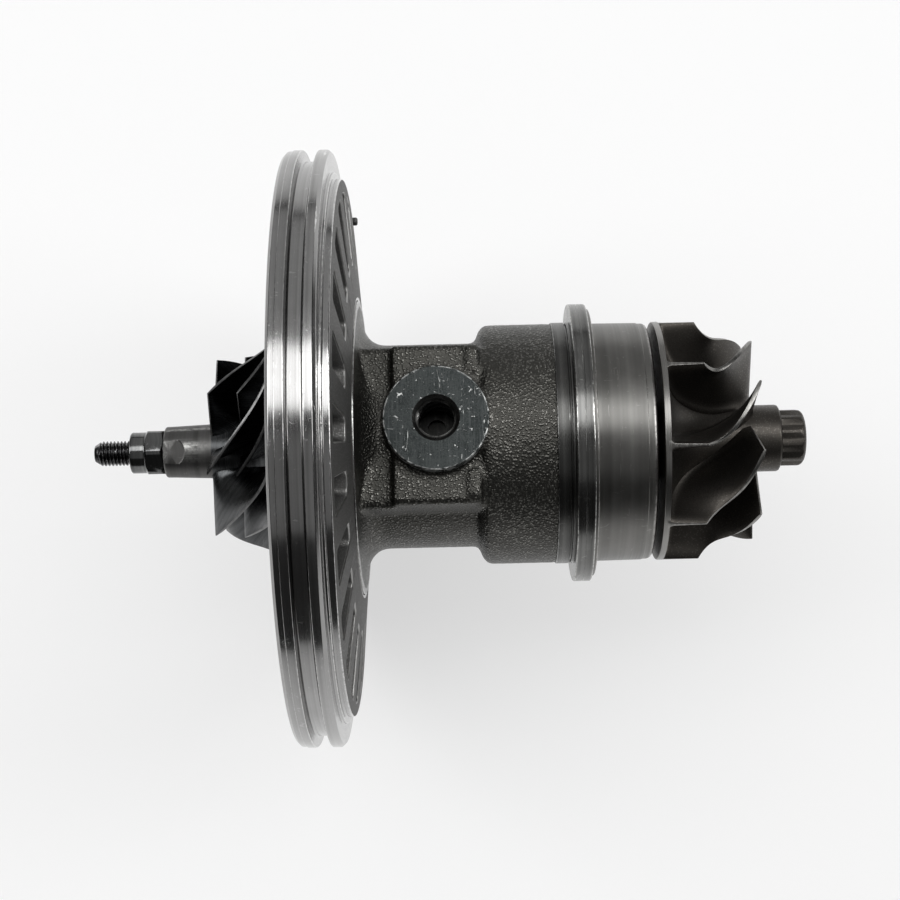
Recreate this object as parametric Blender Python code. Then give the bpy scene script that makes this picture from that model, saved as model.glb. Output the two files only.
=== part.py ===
"""Turbo cartridge: the rotor, bearings, bearing housing, backplate and heat shield of a turbocharger.

The shaft runs along X, with the turbine wheel at +X. +Z is up, towards the oil inlet, and the oil
drains towards -Z. The origin is on the shaft axis, in the plane of the seat face of the turbine flange.
Angles around the shaft are measured from +Z towards +Y. All sizes are in metres.
"""

from math import cos, hypot, pi, radians, sin

import bmesh
import bpy
from mathutils import Matrix, Vector

# Fits
SEAT_GAP = 0.0003        # between faces and fits that stand still against each other
RUN_GAP = 0.0003         # radial, between turning and still pieces
RING_GAP = 0.0003        # outside a sprung ring or a soft one
OVERCUT = 0.001          # of a cutting tool beyond the face that it cuts
SHANK_SINK = 0.0005      # of a screw's shank into its head
AXIS = Vector((1.0, 0.0, 0.0))

# Bearing housing, outside
HOUSING_LENGTH = 0.0684
FRONT_FLANGE_RADIUS = 0.0409
FRONT_FLANGE_THICKNESS = 0.0060
FRONT_FILLET_LENGTH = 0.0069
FRONT_FILLET_CURVES = (1.25, 0.9)   # along and across: 1 and 1 are an ellipse
NECK_RADIUS = 0.0284
DRUM_RADIUS = 0.0333
DRUM_LENGTH = 0.0189
DRUM_CORNER = 0.0026
DRUM_CORNER_MIDDLE = (0.45, 0.60)   # its middle point, as shares along and across
BAND_RADIUS = 0.0336
BAND_LENGTH = 0.0046
BAND_GROOVE_WIDTH = 0.0006
BAND_GROOVE_DEPTH = 0.0010
CLAMP_FLANGE_RADIUS = 0.0386
CLAMP_FLANGE_THICKNESS = 0.0049
CLAMP_FLANGE_CHAMFER = 0.0004
SHIELD_RECESS_DEPTH = 0.0006
NOSE_BASE_RADIUS = 0.0270
NOSE_SHOULDER_RADIUS = 0.0240
NOSE_SHOULDER_LENGTH = 0.0095
NOSE_TIP_RADIUS = 0.0150
NOSE_LENGTH = 0.0140

# Oil inlet
INLET_SETBACK = 0.0271       # of its middle behind the housing's front face
INLET_BLOCK_LENGTH = 0.0233
INLET_BLOCK_WIDTH = 0.0418
INLET_BLOCK_HEIGHT = 0.0299
INLET_BLOCK_ROUNDING = 0.0030
INLET_PAD_RADIUS = 0.0140
INLET_PAD_HEIGHT = 0.0342
INLET_PAD_SINK = 0.0040       # of the pad's cylinder below the neck's surface
INLET_BORE_RADIUS = 0.0052
INLET_BORE_DEPTH = 0.0135
INLET_CHAMFER = 0.0009
GALLERY_HEIGHT = 0.0185
GALLERY_RADIUS = 0.0018
INLET_FEED_RADIUS = 0.00216
GALLERY_END_REACH = 0.0015   # of the gallery past the rear bearing's middle
FEED_RADIUS = 0.0012

# Oil drain
DRAIN_SETBACK = 0.0254
DRAIN_BLOCK_LENGTH = 0.0250
DRAIN_BLOCK_WIDTH = 0.0420
DRAIN_BLOCK_TOP = -0.0200
DRAIN_FACE_Z = -0.0350
DRAIN_BORE_RADIUS = 0.0080
DRAIN_SCREW_SPACING = 0.0320
DRAIN_TAP_RADIUS = 0.0025
DRAIN_TAP_DEPTH = 0.0110

# Shaft and journal bearings
STUB_RADIUS = 0.0035
JOURNAL_RADIUS = 0.00525
THREAD_REACH = 0.0102        # of the thread beyond the nut
THREAD_TIP_RADIUS = 0.0023
THREAD_TIP_LENGTH = 0.0020
SEAL_BOSS_RADIUS = 0.0092
SEAL_BOSS_START = 0.0040
SEAL_BOSS_CHAMFER = 0.0010
SPIGOT_RADIUS = 0.0050
SPIGOT_LENGTH = 0.0027
BEARING_WALL = 0.00245
BEARING_LENGTH = 0.0090
BEARING_FRONT_SETBACK = 0.0139   # of its middle behind the housing's front face
BEARING_REAR_X = -0.0095     # middle of the turbine-side bearing
BEARING_OIL_HOLE_RADIUS = 0.0010
BEARING_OIL_HOLES = 4
CLIP_THICKNESS = 0.0008
CLIP_GROOVE_WIDTH = 0.0012
CLIP_GROOVE_DEPTH = 0.0011
CLIP_WALL = 0.0020
CLIP_OPENING = radians(40.0)
BORE_LIP = 0.0008
OIL_CAVITY_RADIUS = 0.0150
SEAL_CAVITY_RADIUS = 0.0140
SEAL_CAVITY_LENGTH = 0.0060

# Thrust parts
THRUST_POCKET_DEPTH = 0.0034
THRUST_BEARING_EDGE = 0.0010     # inside the backplate's ledge, all round
THRUST_BEARING_THICKNESS = 0.0028
THRUST_HUB_RADIUS = 0.0073
THRUST_RING_RADIUS = 0.0105
THRUST_COLLAR_THICKNESS = 0.0023
THRUST_RUNNER_THICKNESS = 0.0018
THRUST_PAD_COUNT = 6
THRUST_PAD_SLOT = 0.0008
RUNNER_RECESS_GAP = 0.0010
RUNNER_RECESS_DEPTH = 0.0038
DEFLECTOR_EDGE = 0.0015
DEFLECTOR_THICKNESS = 0.0006
DEFLECTOR_HOLE_GAP = 0.0007
THRUST_SCREW_EDGE = 0.0060
THRUST_SCREW_COUNT = 3
THRUST_SCREW_RADIUS = 0.0020
THRUST_SCREW_HEAD_RADIUS = 0.0028
THRUST_SCREW_HEAD = 0.0015
THRUST_SCREW_GRIP = 0.0055
THRUST_SCREW_SLOT = 0.0007

# Backplate
PLATE_RADIUS = 0.0826
PLATE_WEB = 0.0101
WHEEL_POCKET_DEPTH = 0.0018
WHEEL_POCKET_RADIUS = 0.0380
FRONT_LAND_DROP = 0.0003      # of the front land below the ridges
FRONT_LAND_LENGTH = 0.0022
FRONT_CHAMFER = 0.0008
RIDGE_1_LENGTH = 0.0023
GROOVE_WIDTH = 0.0045
GROOVE_DEPTH = 0.0032
GROOVE_SLANT = 0.0004
RIDGE_2_LENGTH = 0.0022
RIDGE_2_CHAMFER = 0.0009
BACK_STEP_1_DROP = 0.0063
BACK_STEP_1_LENGTH = 0.0008
BACK_STEP_2_DROP = 0.0081
BACK_STEP_2_LENGTH = 0.0019
CONE_HUB_RISE = 0.0030
CONE_HUB_RADIUS = 0.0420
RIB_POCKET_COUNT = 24
RIB_POCKET_INNER = 0.0515
RIB_POCKET_DROP = 0.0121      # of its outer end below the rim
RIB_POCKET_WIDTH_INNER = 0.0058
RIB_POCKET_WIDTH_OUTER = 0.0096
RIB_POCKET_CORNER = 0.0016
RIB_POCKET_DEPTH = 0.0036     # below the rim side of the cone
PLATE_SCREW_CIRCLE = 0.0330
PLATE_SCREW_COUNT = 6
PLATE_SCREW_RADIUS = 0.0025
PLATE_SCREW_HEAD_RADIUS = 0.0042
PLATE_SCREW_HEAD = 0.0046
PLATE_SCREW_SINK = 0.0004
PLATE_SCREW_GRIP = 0.0054
PLATE_SCREW_HEX = 0.0020
PLATE_SCREW_HEX_DEPTH = 0.0023
DOWEL_RADIUS = 0.0020
DOWEL_LENGTH = 0.0064
PLATE_RING_RADIUS = 0.0383
PLATE_RING_SECTION = 0.0007
PLATE_RING_GROOVE_DEPTH = 0.0015
PLATE_RING_GROOVE_WIDTH = 0.0022
INDEX_PIN_RADIUS = 0.0012
INDEX_PIN_DROP = 0.0100
INDEX_PIN_ANGLE = radians(100.0)
INDEX_PIN_REACH = 0.0016
INDEX_PIN_DEPTH = 0.0044

# Seal plate in the middle of the backplate
SEAL_PLATE_RADIUS = 0.0240
SEAL_PLATE_THICKNESS = 0.0057
SEAL_PLATE_LEDGE = 0.0033
SEAL_PLATE_LEDGE_DEPTH = 0.0020
SEAL_RING_SECTION = 0.00075
SEAL_RING_GROOVE_WIDTH = 0.0022
SEAL_RING_GROOVE_DEPTH = 0.0018
SNAP_RING_THICKNESS = 0.0008
SNAP_RING_WALL = 0.0032
SNAP_GROOVE_WIDTH = 0.0012
SNAP_GROOVE_DEPTH = 0.0014
SNAP_RING_OPENING = radians(36.0)
SLEEVE_RADIUS = 0.0090
PISTON_RING_WIDTH = 0.0014
PISTON_RING_WALL = 0.0013
PISTON_RING_SIDE_GAP = 0.0002
PISTON_RING_OPENING = radians(4.0)
REAR_RING_SETBACK = 0.0045     # behind the housing nose's end

# Compressor wheel
WHEEL_BACK_GAP = 0.0007
COMPRESSOR_RADIUS = 0.0365
COMPRESSOR_LENGTH = 0.0381
INDUCER_RADIUS = 0.0255
INDUCER_SETBACK = 0.0148      # of the inducer edge behind the nose
INDUCER_ROOT_LEAD = 0.0013    # of the edge's root before its tip
SPLITTER_SETBACK = 0.0228
COMPRESSOR_EXIT_WIDTH = 0.0042
COMPRESSOR_DISC_EDGE = 0.0009
NOSE_FRONT_RADIUS = 0.0071
NOSE_BACK_RADIUS = 0.0076
NOSE_CHAMFER = 0.0005
NOSE_FLAT_HEIGHT = 0.0064     # of the ground balancing flat above the axis
NOSE_FLAT_LENGTH = 0.0062
NOSE_CUTTER_RADIUS = 0.0045
NOSE_FLAT_ANGLE = radians(-12.7)
COMPRESSOR_BLADES = 7
COMPRESSOR_WRAP = radians(67.0)
COMPRESSOR_BLADE_ANGLE = radians(-26.7)   # of the first full blade's inducer tip
COMPRESSOR_BLADE_TIP = 0.0008
COMPRESSOR_BLADE_ROOT = 0.0015
COMPRESSOR_HUB_CURVE = 1.12            # of the two lines: 1 is an ellipse
COMPRESSOR_SHROUD_CURVES = (0.80, 1.10)
COMPRESSOR_WRAP_RATES = (1.15, 0.15)   # of the wrap: at the inducer, and its loss to the exit

# Both wheels
BLADE_SINK = -0.08            # height of a blade's root, as a share of the blade's height
BLADE_EDGE_THICKNESS = 0.45   # at the first and last edge, as a share of the blade's own
BLADE_ENTRY_TAPER = 0.06      # share of the blade's length over which it thins
BLADE_EXIT_TAPER = 0.04
BLADE_NUDGE = 0.001           # share of the length between points that give its direction

# Nut
NUT_FLATS = 0.0120
NUT_HEX_LENGTH = 0.0048
NUT_CORNER_RADIUS = 0.00665
NUT_COLLAR_RADIUS = 0.00575
NUT_COLLAR_LENGTH = 0.0046
NUT_CHAMFER = 0.0005
NUT_ANGLE = radians(17.3)     # of one corner of the hexagon

# Heat shield
SHIELD_RADIUS = 0.0330
SHIELD_WALL = 0.0012
SHIELD_LENGTH = 0.0168       # from the seat face to the outside of its end
SHIELD_CORNER = 0.0025
SHIELD_FOOT_RADIUS = 0.0372
SHIELD_HOLE_RADIUS = 0.0125

# Turbine wheel
TURBINE_RADIUS = 0.0332
TURBINE_DISC_X = 0.0185
TURBINE_DISC_EDGE = 0.0016
TURBINE_INLET_WIDTH = 0.0098
EXDUCER_RADIUS = 0.0280
EXDUCER_X = 0.0453
SHROUD_DROP_LENGTH = 0.0080
TURBINE_HUB_RADIUS = 0.0093
TURBINE_HUB_END = 0.0534
TURBINE_BACK_BOSS_RADIUS = 0.0105
TURBINE_BACK_BOSS_LENGTH = 0.0034
TURBINE_NOSE_RADIUS = 0.0079
TURBINE_NOSE_LENGTH = 0.0070
TURBINE_NOSE_ROUNDING = 0.0022
TURBINE_NOSE_POINTS = 12
TURBINE_NOSE_SINK = 0.0010    # of the nose into the hub
TURBINE_HUB_CHAMFER = 0.0003
TURBINE_HUB_CURVES = (1.15, 1.05)   # along and across: 1 and 1 are an ellipse
TURBINE_DROP_CURVE = 2.6
TURBINE_WRAP_CURVE = 2.05
TURBINE_BLADES = 9
TURBINE_WRAP = radians(35.9)
TURBINE_LEAN = radians(22.0)
TURBINE_BLADE_ANGLE = radians(-15.0)      # of the first blade's inlet tip
TURBINE_BLADE_TIP = 0.0011
TURBINE_BLADE_ROOT = 0.0022

# Roundness, in steps around a full circle
FINE = 48
MEDIUM = 36
COARSE = 20
SMALL = 10
TINY = 8
WHEEL_STEPS = 30
NOSE_STEPS = 32
SEAL_PLATE_STEPS = 28
CLIP_STEPS = 14
HUB_STEPS = 7               # along a wheel's hub line, and along a full blade
SPLITTER_STEPS = 5
FILLET_STEPS = 4
LINE_STEPS = 16             # for the length of a curved line
HALVINGS = 24               # for a place on a curved line
FIRST_STEP = radians(1.7)   # keeps the steps of a full turn off the tools that cut it

# Radii worked out from the sizes above
front_land_radius = PLATE_RADIUS - FRONT_LAND_DROP
back_step_1_radius = PLATE_RADIUS - BACK_STEP_1_DROP
back_step_2_radius = PLATE_RADIUS - BACK_STEP_2_DROP
rib_pocket_outer = PLATE_RADIUS - RIB_POCKET_DROP
index_pin_circle = PLATE_RADIUS - INDEX_PIN_DROP
seal_plate_bore = SEAL_PLATE_RADIUS + SEAT_GAP
ledge_radius = seal_plate_bore - SEAL_PLATE_LEDGE
thrust_bearing_radius = ledge_radius - THRUST_BEARING_EDGE
deflector_radius = ledge_radius - DEFLECTOR_EDGE
thrust_screw_circle = ledge_radius - THRUST_SCREW_EDGE

# Stations along the shaft, worked out from the sizes above
housing_front = -HOUSING_LENGTH
inlet_x = housing_front + INLET_SETBACK
drain_x = housing_front + DRAIN_SETBACK
bearing_front_x = housing_front + BEARING_FRONT_SETBACK
gallery_end = BEARING_REAR_X + GALLERY_END_REACH
plate_seat = housing_front - SEAT_GAP
wheel_pocket_floor = plate_seat - PLATE_WEB
plate_front = wheel_pocket_floor - WHEEL_POCKET_DEPTH
thrust_pocket_floor = housing_front + THRUST_POCKET_DEPTH
thrust_bearing_back = thrust_pocket_floor - SEAT_GAP
thrust_bearing_front = thrust_bearing_back - THRUST_BEARING_THICKNESS
deflector_back = thrust_bearing_front - SEAT_GAP
deflector_front = deflector_back - DEFLECTOR_THICKNESS
collar_back = thrust_bearing_front - RUN_GAP
collar_front = collar_back - THRUST_COLLAR_THICKNESS
runner_front = thrust_bearing_back + RUN_GAP
runner_back = runner_front + THRUST_RUNNER_THICKNESS
shaft_shoulder = runner_back + SEAT_GAP
seal_plate_shoulder = plate_seat - SEAL_PLATE_LEDGE_DEPTH
seal_plate_back = seal_plate_shoulder - SEAT_GAP
seal_plate_front = seal_plate_back - SEAL_PLATE_THICKNESS
wheel_back = wheel_pocket_floor - WHEEL_BACK_GAP
wheel_front = wheel_back - COMPRESSOR_LENGTH
sleeve_front = wheel_back + SEAT_GAP
sleeve_back = collar_front - SEAT_GAP
nut_back = wheel_front - SEAT_GAP
nut_front = nut_back - NUT_HEX_LENGTH - NUT_COLLAR_LENGTH
thread_tip = nut_front - THREAD_REACH
drum_front = -CLAMP_FLANGE_THICKNESS - BAND_LENGTH - DRUM_LENGTH
neck_back = drum_front - DRUM_CORNER
bearing_radius = JOURNAL_RADIUS + RUN_GAP + BEARING_WALL
bearing_bore = bearing_radius + RUN_GAP
seal_bore_front = SLEEVE_RADIUS + RUN_GAP
seal_bore_rear = SEAL_BOSS_RADIUS + RUN_GAP
stub_bore = STUB_RADIUS + SEAT_GAP
turbine_boss_front = TURBINE_DISC_X - TURBINE_BACK_BOSS_LENGTH
boss_end = turbine_boss_front - SEAT_GAP


def clear_scene():
    """Remove the objects of the open scene."""
    for old in list(bpy.data.objects):
        bpy.data.objects.remove(old, do_unlink=True)


def material(name, colour, roughness, metallic):
    """A plain surface with one colour."""
    surface = bpy.data.materials.new(name)
    surface.use_nodes = True
    shader = surface.node_tree.nodes["Principled BSDF"]
    shader.inputs["Base Color"].default_value = (*colour, 1.0)
    shader.inputs["Roughness"].default_value = roughness
    shader.inputs["Metallic"].default_value = metallic
    surface.diffuse_color = (*colour, 1.0)
    return surface


def object_from(bm, name):
    """Put a finished bmesh into the scene as a new object."""
    bmesh.ops.recalc_face_normals(bm, faces=bm.faces)
    mesh = bpy.data.meshes.new(name)
    bm.to_mesh(mesh)
    bm.free()
    made = bpy.data.objects.new(name, mesh)
    bpy.context.scene.collection.objects.link(made)
    return made


def finish(piece, surface, sharp=radians(32.0)):
    """Give a piece its surface and smooth its round faces."""
    piece.data.materials.clear()
    piece.data.materials.append(surface)
    piece.data.shade_smooth()
    piece.data.set_sharp_from_angle(angle=sharp)
    return piece


def combine(piece, tools, operation):
    """Cut tools from a piece, or join them to it, and delete the tools."""
    for tool in tools:
        step = piece.modifiers.new(operation, "BOOLEAN")
        step.operation = operation
        step.solver = "EXACT"
        step.object = tool
    graph = bpy.context.evaluated_depsgraph_get()
    mesh = bpy.data.meshes.new_from_object(piece.evaluated_get(graph))
    piece.modifiers.clear()
    piece.data = mesh
    for tool in tools:
        bpy.data.objects.remove(tool, do_unlink=True)
    return piece


def polar(x, radius, angle):
    """A point at a radius and an angle around the shaft."""
    return Vector((x, radius * sin(angle), radius * cos(angle)))


def spaced(count, first=0.0):
    """Equal angles around the shaft."""
    return [first + 2.0 * pi * step / count for step in range(count)]


def turned(name, outline, steps, angle=2.0 * pi, start=FIRST_STEP):
    """Spin an outline of (x, radius) points about the shaft.

    An outline that starts and ends on the shaft is left open there. An angle below a full turn
    gives an open ring with flat ends.
    """
    bm = bmesh.new()
    points = [bm.verts.new(polar(x, radius, start)) for x, radius in outline]
    on_axis = outline[0][1] == 0.0 and outline[-1][1] == 0.0
    pairs = list(zip(points, points[1:]))
    if not on_axis:
        pairs.append((points[-1], points[0]))
    edges = [bm.edges.new(pair) for pair in pairs]
    whole = abs(angle - 2.0 * pi) < 1e-9
    spun = bmesh.ops.spin(bm, geom=points + edges, cent=(0.0, 0.0, 0.0), axis=-AXIS,
                          angle=angle, steps=steps, use_merge=whole)
    if not whole:
        last = [item for item in spun["geom_last"] if isinstance(item, bmesh.types.BMEdge)]
        bmesh.ops.contextual_create(bm, geom=edges)
        bmesh.ops.contextual_create(bm, geom=last)
    bmesh.ops.remove_doubles(bm, verts=bm.verts, dist=1e-7)
    return object_from(bm, name)


def rod(name, start, end, radius, steps, end_radius=None):
    """A round bar or a cone between two points."""
    start = Vector(start)
    end = Vector(end)
    along = end - start
    turn = along.to_track_quat("Z", "Y").to_matrix().to_4x4()
    place = Matrix.Translation((start + end) / 2.0) @ turn
    bm = bmesh.new()
    bmesh.ops.create_cone(bm, cap_ends=True, segments=steps, radius1=radius,
                          radius2=radius if end_radius is None else end_radius,
                          depth=along.length, matrix=place)
    return object_from(bm, name)


def prisms(name, outline, angles, x_start, x_end):
    """Straight bars along the shaft, one at each angle, from an outline of (across, outward)."""
    bm = bmesh.new()
    for angle in angles:
        across = Vector((0.0, cos(angle), -sin(angle)))
        outward = Vector((0.0, sin(angle), cos(angle)))
        base = Vector((x_start, 0.0, 0.0))
        points = [bm.verts.new(base + across * a + outward * b) for a, b in outline]
        face = bm.faces.new(points)
        grown = bmesh.ops.extrude_face_region(bm, geom=[face])
        moved = [item for item in grown["geom"] if isinstance(item, bmesh.types.BMVert)]
        bmesh.ops.translate(bm, verts=moved, vec=AXIS * (x_end - x_start))
    return object_from(bm, name)


def block(name, low, high, rounding=0.0, axis=2):
    """A box between two corners, with the edges along one axis rounded."""
    low = Vector(low)
    high = Vector(high)
    bm = bmesh.new()
    size = high - low
    place = Matrix.Translation((low + high) / 2.0) @ Matrix.Diagonal((*size, 1.0))
    bmesh.ops.create_cube(bm, size=1.0, matrix=place)
    if rounding > 0.0:
        sides = [edge for edge in bm.edges
                 if abs((edge.verts[0].co - edge.verts[1].co)[axis]) > size[axis] / 2.0]
        bmesh.ops.bevel(bm, geom=sides, offset=rounding, segments=3, profile=0.5,
                        affect="EDGES", clamp_overlap=True)
    return object_from(bm, name)


def arc(x, radius, size, start, end, steps):
    """Points of a round corner in an outline. Angle 0 points along +X, a right angle outwards."""
    turns = [start + (end - start) * step / steps for step in range(steps + 1)]
    return [(x + size * cos(turn), radius + size * sin(turn)) for turn in turns]


def ring_outline(x, radius, section, steps=5):
    """The round section of an O-ring."""
    return arc(x, radius, section, 0.0, 2.0 * pi * (steps - 1) / steps, steps - 1)


def housing_outline():
    """The outside of the bearing housing, and a straight line along the shaft."""
    front_back = housing_front + FRONT_FLANGE_THICKNESS
    fillet = FRONT_FLANGE_RADIUS - NECK_RADIUS
    band_front = -CLAMP_FLANGE_THICKNESS - BAND_LENGTH
    groove_back = -CLAMP_FLANGE_THICKNESS - BAND_GROOVE_WIDTH
    groove_front = groove_back - BAND_GROOVE_WIDTH
    ring_half = PLATE_RING_GROOVE_WIDTH / 2.0
    ring_floor = housing_front + PLATE_RING_GROOVE_DEPTH
    outline = [(housing_front, 0.0), (housing_front, PLATE_RING_RADIUS - ring_half)]
    outline.append((ring_floor, PLATE_RING_RADIUS - ring_half))
    outline.append((ring_floor, PLATE_RING_RADIUS + ring_half))
    outline.append((housing_front, PLATE_RING_RADIUS + ring_half))
    outline.append((housing_front, FRONT_FLANGE_RADIUS))
    outline.append((front_back, FRONT_FLANGE_RADIUS))
    for step in range(1, FILLET_STEPS + 1):
        turn = pi / 2.0 * step / FILLET_STEPS
        x = front_back + FRONT_FILLET_LENGTH * (1.0 - cos(turn)) ** FRONT_FILLET_CURVES[0]
        outline.append((x, FRONT_FLANGE_RADIUS - fillet * sin(turn) ** FRONT_FILLET_CURVES[1]))
    rise = DRUM_RADIUS - NECK_RADIUS
    outline.append((neck_back, NECK_RADIUS))
    along, across = DRUM_CORNER_MIDDLE
    outline.append((neck_back + along * DRUM_CORNER, NECK_RADIUS + across * rise))
    outline.append((neck_back + DRUM_CORNER, DRUM_RADIUS))
    outline.append((band_front, DRUM_RADIUS))
    outline.append((band_front, BAND_RADIUS))
    outline.append((groove_front, BAND_RADIUS))
    outline.append((groove_front, BAND_RADIUS - BAND_GROOVE_DEPTH))
    outline.append((groove_back, BAND_RADIUS - BAND_GROOVE_DEPTH))
    outline.append((groove_back, BAND_RADIUS))
    outline.append((-CLAMP_FLANGE_THICKNESS, BAND_RADIUS))
    outline.append((-CLAMP_FLANGE_THICKNESS, CLAMP_FLANGE_RADIUS - CLAMP_FLANGE_CHAMFER))
    outline.append((-CLAMP_FLANGE_THICKNESS + CLAMP_FLANGE_CHAMFER, CLAMP_FLANGE_RADIUS))
    outline.append((-CLAMP_FLANGE_CHAMFER, CLAMP_FLANGE_RADIUS))
    outline.append((0.0, CLAMP_FLANGE_RADIUS - CLAMP_FLANGE_CHAMFER))
    outline.append((0.0, SHIELD_FOOT_RADIUS + SEAT_GAP))
    outline.append((-SHIELD_RECESS_DEPTH, SHIELD_FOOT_RADIUS + SEAT_GAP))
    outline.append((-SHIELD_RECESS_DEPTH, NOSE_BASE_RADIUS))
    outline.append((NOSE_SHOULDER_LENGTH, NOSE_SHOULDER_RADIUS))
    outline.append((NOSE_LENGTH, NOSE_TIP_RADIUS))
    outline.append((NOSE_LENGTH, 0.0))
    return outline


def clip_groove(x, radius):
    """Four points of a clip groove in a bore, for an outline that runs towards +X."""
    half = CLIP_GROOVE_WIDTH / 2.0
    deep = radius + CLIP_GROOVE_DEPTH
    return [(x - half, radius), (x - half, deep), (x + half, deep), (x + half, radius)]


def clip_place(middle, side):
    """The middle of a clip that stands beside a journal bearing."""
    return middle + side * (BEARING_LENGTH / 2.0 + SEAT_GAP + CLIP_THICKNESS / 2.0)


def housing_cavity_outline():
    """The bored and cored inside of the bearing housing, with the shaft line as its open side."""
    front_clip = clip_place(bearing_front_x, -1)
    lip = CLIP_GROOVE_WIDTH / 2.0 + BORE_LIP
    cavity_front = clip_place(bearing_front_x, 1) + lip
    cavity_back = clip_place(BEARING_REAR_X, -1) - lip
    seal_cavity_front = clip_place(BEARING_REAR_X, 1) + lip
    seal_cavity_back = seal_cavity_front + SEAL_CAVITY_LENGTH
    pocket_radius = thrust_bearing_radius + SEAT_GAP
    recess_radius = THRUST_RING_RADIUS + RUNNER_RECESS_GAP
    outline = [(housing_front - OVERCUT, 0.0), (housing_front - OVERCUT, pocket_radius)]
    outline += [(thrust_pocket_floor, pocket_radius), (thrust_pocket_floor, recess_radius)]
    outline += [(front_clip - lip, recess_radius), (front_clip - lip, bearing_bore)]
    outline += clip_groove(front_clip, bearing_bore)
    outline += clip_groove(clip_place(bearing_front_x, 1), bearing_bore)
    outline += [(cavity_front, bearing_bore), (cavity_front, OIL_CAVITY_RADIUS)]
    outline += [(cavity_back, OIL_CAVITY_RADIUS), (cavity_back, bearing_bore)]
    outline += clip_groove(clip_place(BEARING_REAR_X, -1), bearing_bore)
    outline += clip_groove(clip_place(BEARING_REAR_X, 1), bearing_bore)
    outline += [(seal_cavity_front, bearing_bore), (seal_cavity_front, SEAL_CAVITY_RADIUS)]
    outline += [(seal_cavity_back, SEAL_CAVITY_RADIUS), (seal_cavity_back, seal_bore_rear)]
    outline += [(NOSE_LENGTH + OVERCUT, seal_bore_rear), (NOSE_LENGTH + OVERCUT, 0.0)]
    return outline


def oil_inlet_tools():
    """The stepped bore of the inlet, the long gallery and the feeds to the two bearings."""
    top = INLET_PAD_HEIGHT
    floor = top - INLET_BORE_DEPTH
    mouth = INLET_BORE_RADIUS + INLET_CHAMFER
    tools = [rod("inlet_bore", (inlet_x, 0, floor), (inlet_x, 0, top + OVERCUT),
                 INLET_BORE_RADIUS, COARSE)]
    tools.append(rod("inlet_mouth", (inlet_x, 0, top - INLET_CHAMFER),
                     (inlet_x, 0, top + OVERCUT), mouth - INLET_CHAMFER, COARSE, mouth + OVERCUT))
    tools.append(rod("inlet_feed", (inlet_x, 0, GALLERY_HEIGHT), (inlet_x, 0, floor + OVERCUT),
                     INLET_FEED_RADIUS, TINY))
    tools.append(rod("gallery", (thrust_pocket_floor - OVERCUT, 0, GALLERY_HEIGHT),
                     (gallery_end, 0, GALLERY_HEIGHT), GALLERY_RADIUS, TINY))
    for middle in (bearing_front_x, BEARING_REAR_X):
        tools.append(rod("bearing_feed", (middle, 0, bearing_bore - OVERCUT),
                         (middle, 0, GALLERY_HEIGHT), FEED_RADIUS, TINY))
    return tools


def drain_tools():
    """The drain passage up to the oil cavity and the two tapped holes beside it."""
    tools = [rod("drain_bore", (drain_x, 0, DRAIN_FACE_Z - OVERCUT), (drain_x, 0, -bearing_bore),
                 DRAIN_BORE_RADIUS, COARSE)]
    for side in (-1, 1):
        y = side * DRAIN_SCREW_SPACING / 2.0
        tools.append(rod("drain_tap", (drain_x, y, DRAIN_FACE_Z - OVERCUT),
                         (drain_x, y, DRAIN_FACE_Z + DRAIN_TAP_DEPTH), DRAIN_TAP_RADIUS, SMALL))
    return tools


def bearing_housing(surface):
    """The cast housing with its flanges, oil inlet, drain flange and bores."""
    housing = turned("bearing_housing", housing_outline(), MEDIUM)
    half_length = INLET_BLOCK_LENGTH / 2.0
    half_width = INLET_BLOCK_WIDTH / 2.0
    inlet_block = block("inlet_block", (inlet_x - half_length, -half_width, 0.0),
                        (inlet_x + half_length, half_width, INLET_BLOCK_HEIGHT),
                        INLET_BLOCK_ROUNDING, 0)
    pad = rod("inlet_pad", (inlet_x, 0, NECK_RADIUS - INLET_PAD_SINK), (inlet_x, 0, INLET_PAD_HEIGHT),
              INLET_PAD_RADIUS, MEDIUM)
    half_length = DRAIN_BLOCK_LENGTH / 2.0
    half_width = DRAIN_BLOCK_WIDTH / 2.0
    drain_block = block("drain_block", (drain_x - half_length, -half_width, DRAIN_FACE_Z),
                        (drain_x + half_length, half_width, DRAIN_BLOCK_TOP),
                        INLET_BLOCK_ROUNDING)
    combine(housing, [inlet_block, pad, drain_block], "UNION")
    cavity = turned("cavity", housing_cavity_outline(), COARSE)
    combine(housing, [cavity], "DIFFERENCE")
    tools = oil_inlet_tools() + drain_tools()
    screw_end = housing_front + PLATE_SCREW_GRIP + SEAT_GAP
    for angle in plate_screw_angles():
        tools.append(rod("screw_tap", polar(housing_front - OVERCUT, PLATE_SCREW_CIRCLE, angle),
                         polar(screw_end, PLATE_SCREW_CIRCLE, angle),
                         PLATE_SCREW_RADIUS + SEAT_GAP, TINY))
    dowel_end = housing_front + DOWEL_LENGTH / 2.0 + SEAT_GAP
    tools.append(rod("dowel_hole", polar(housing_front - OVERCUT, PLATE_SCREW_CIRCLE, 0.0),
                     polar(dowel_end, PLATE_SCREW_CIRCLE, 0.0), DOWEL_RADIUS + SEAT_GAP, TINY))
    tap_end = thrust_pocket_floor + THRUST_SCREW_GRIP + SEAT_GAP
    for angle in spaced(THRUST_SCREW_COUNT, pi / THRUST_SCREW_COUNT):
        tools.append(rod("thrust_tap", polar(thrust_pocket_floor - OVERCUT, thrust_screw_circle, angle),
                         polar(tap_end, thrust_screw_circle, angle),
                         THRUST_SCREW_RADIUS + SEAT_GAP, TINY))
    combine(housing, tools, "DIFFERENCE")
    return finish(housing, surface)


def plate_screw_angles():
    """The screws stand either side of the dowel, which is at the top."""
    return spaced(PLATE_SCREW_COUNT, pi / PLATE_SCREW_COUNT)


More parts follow.
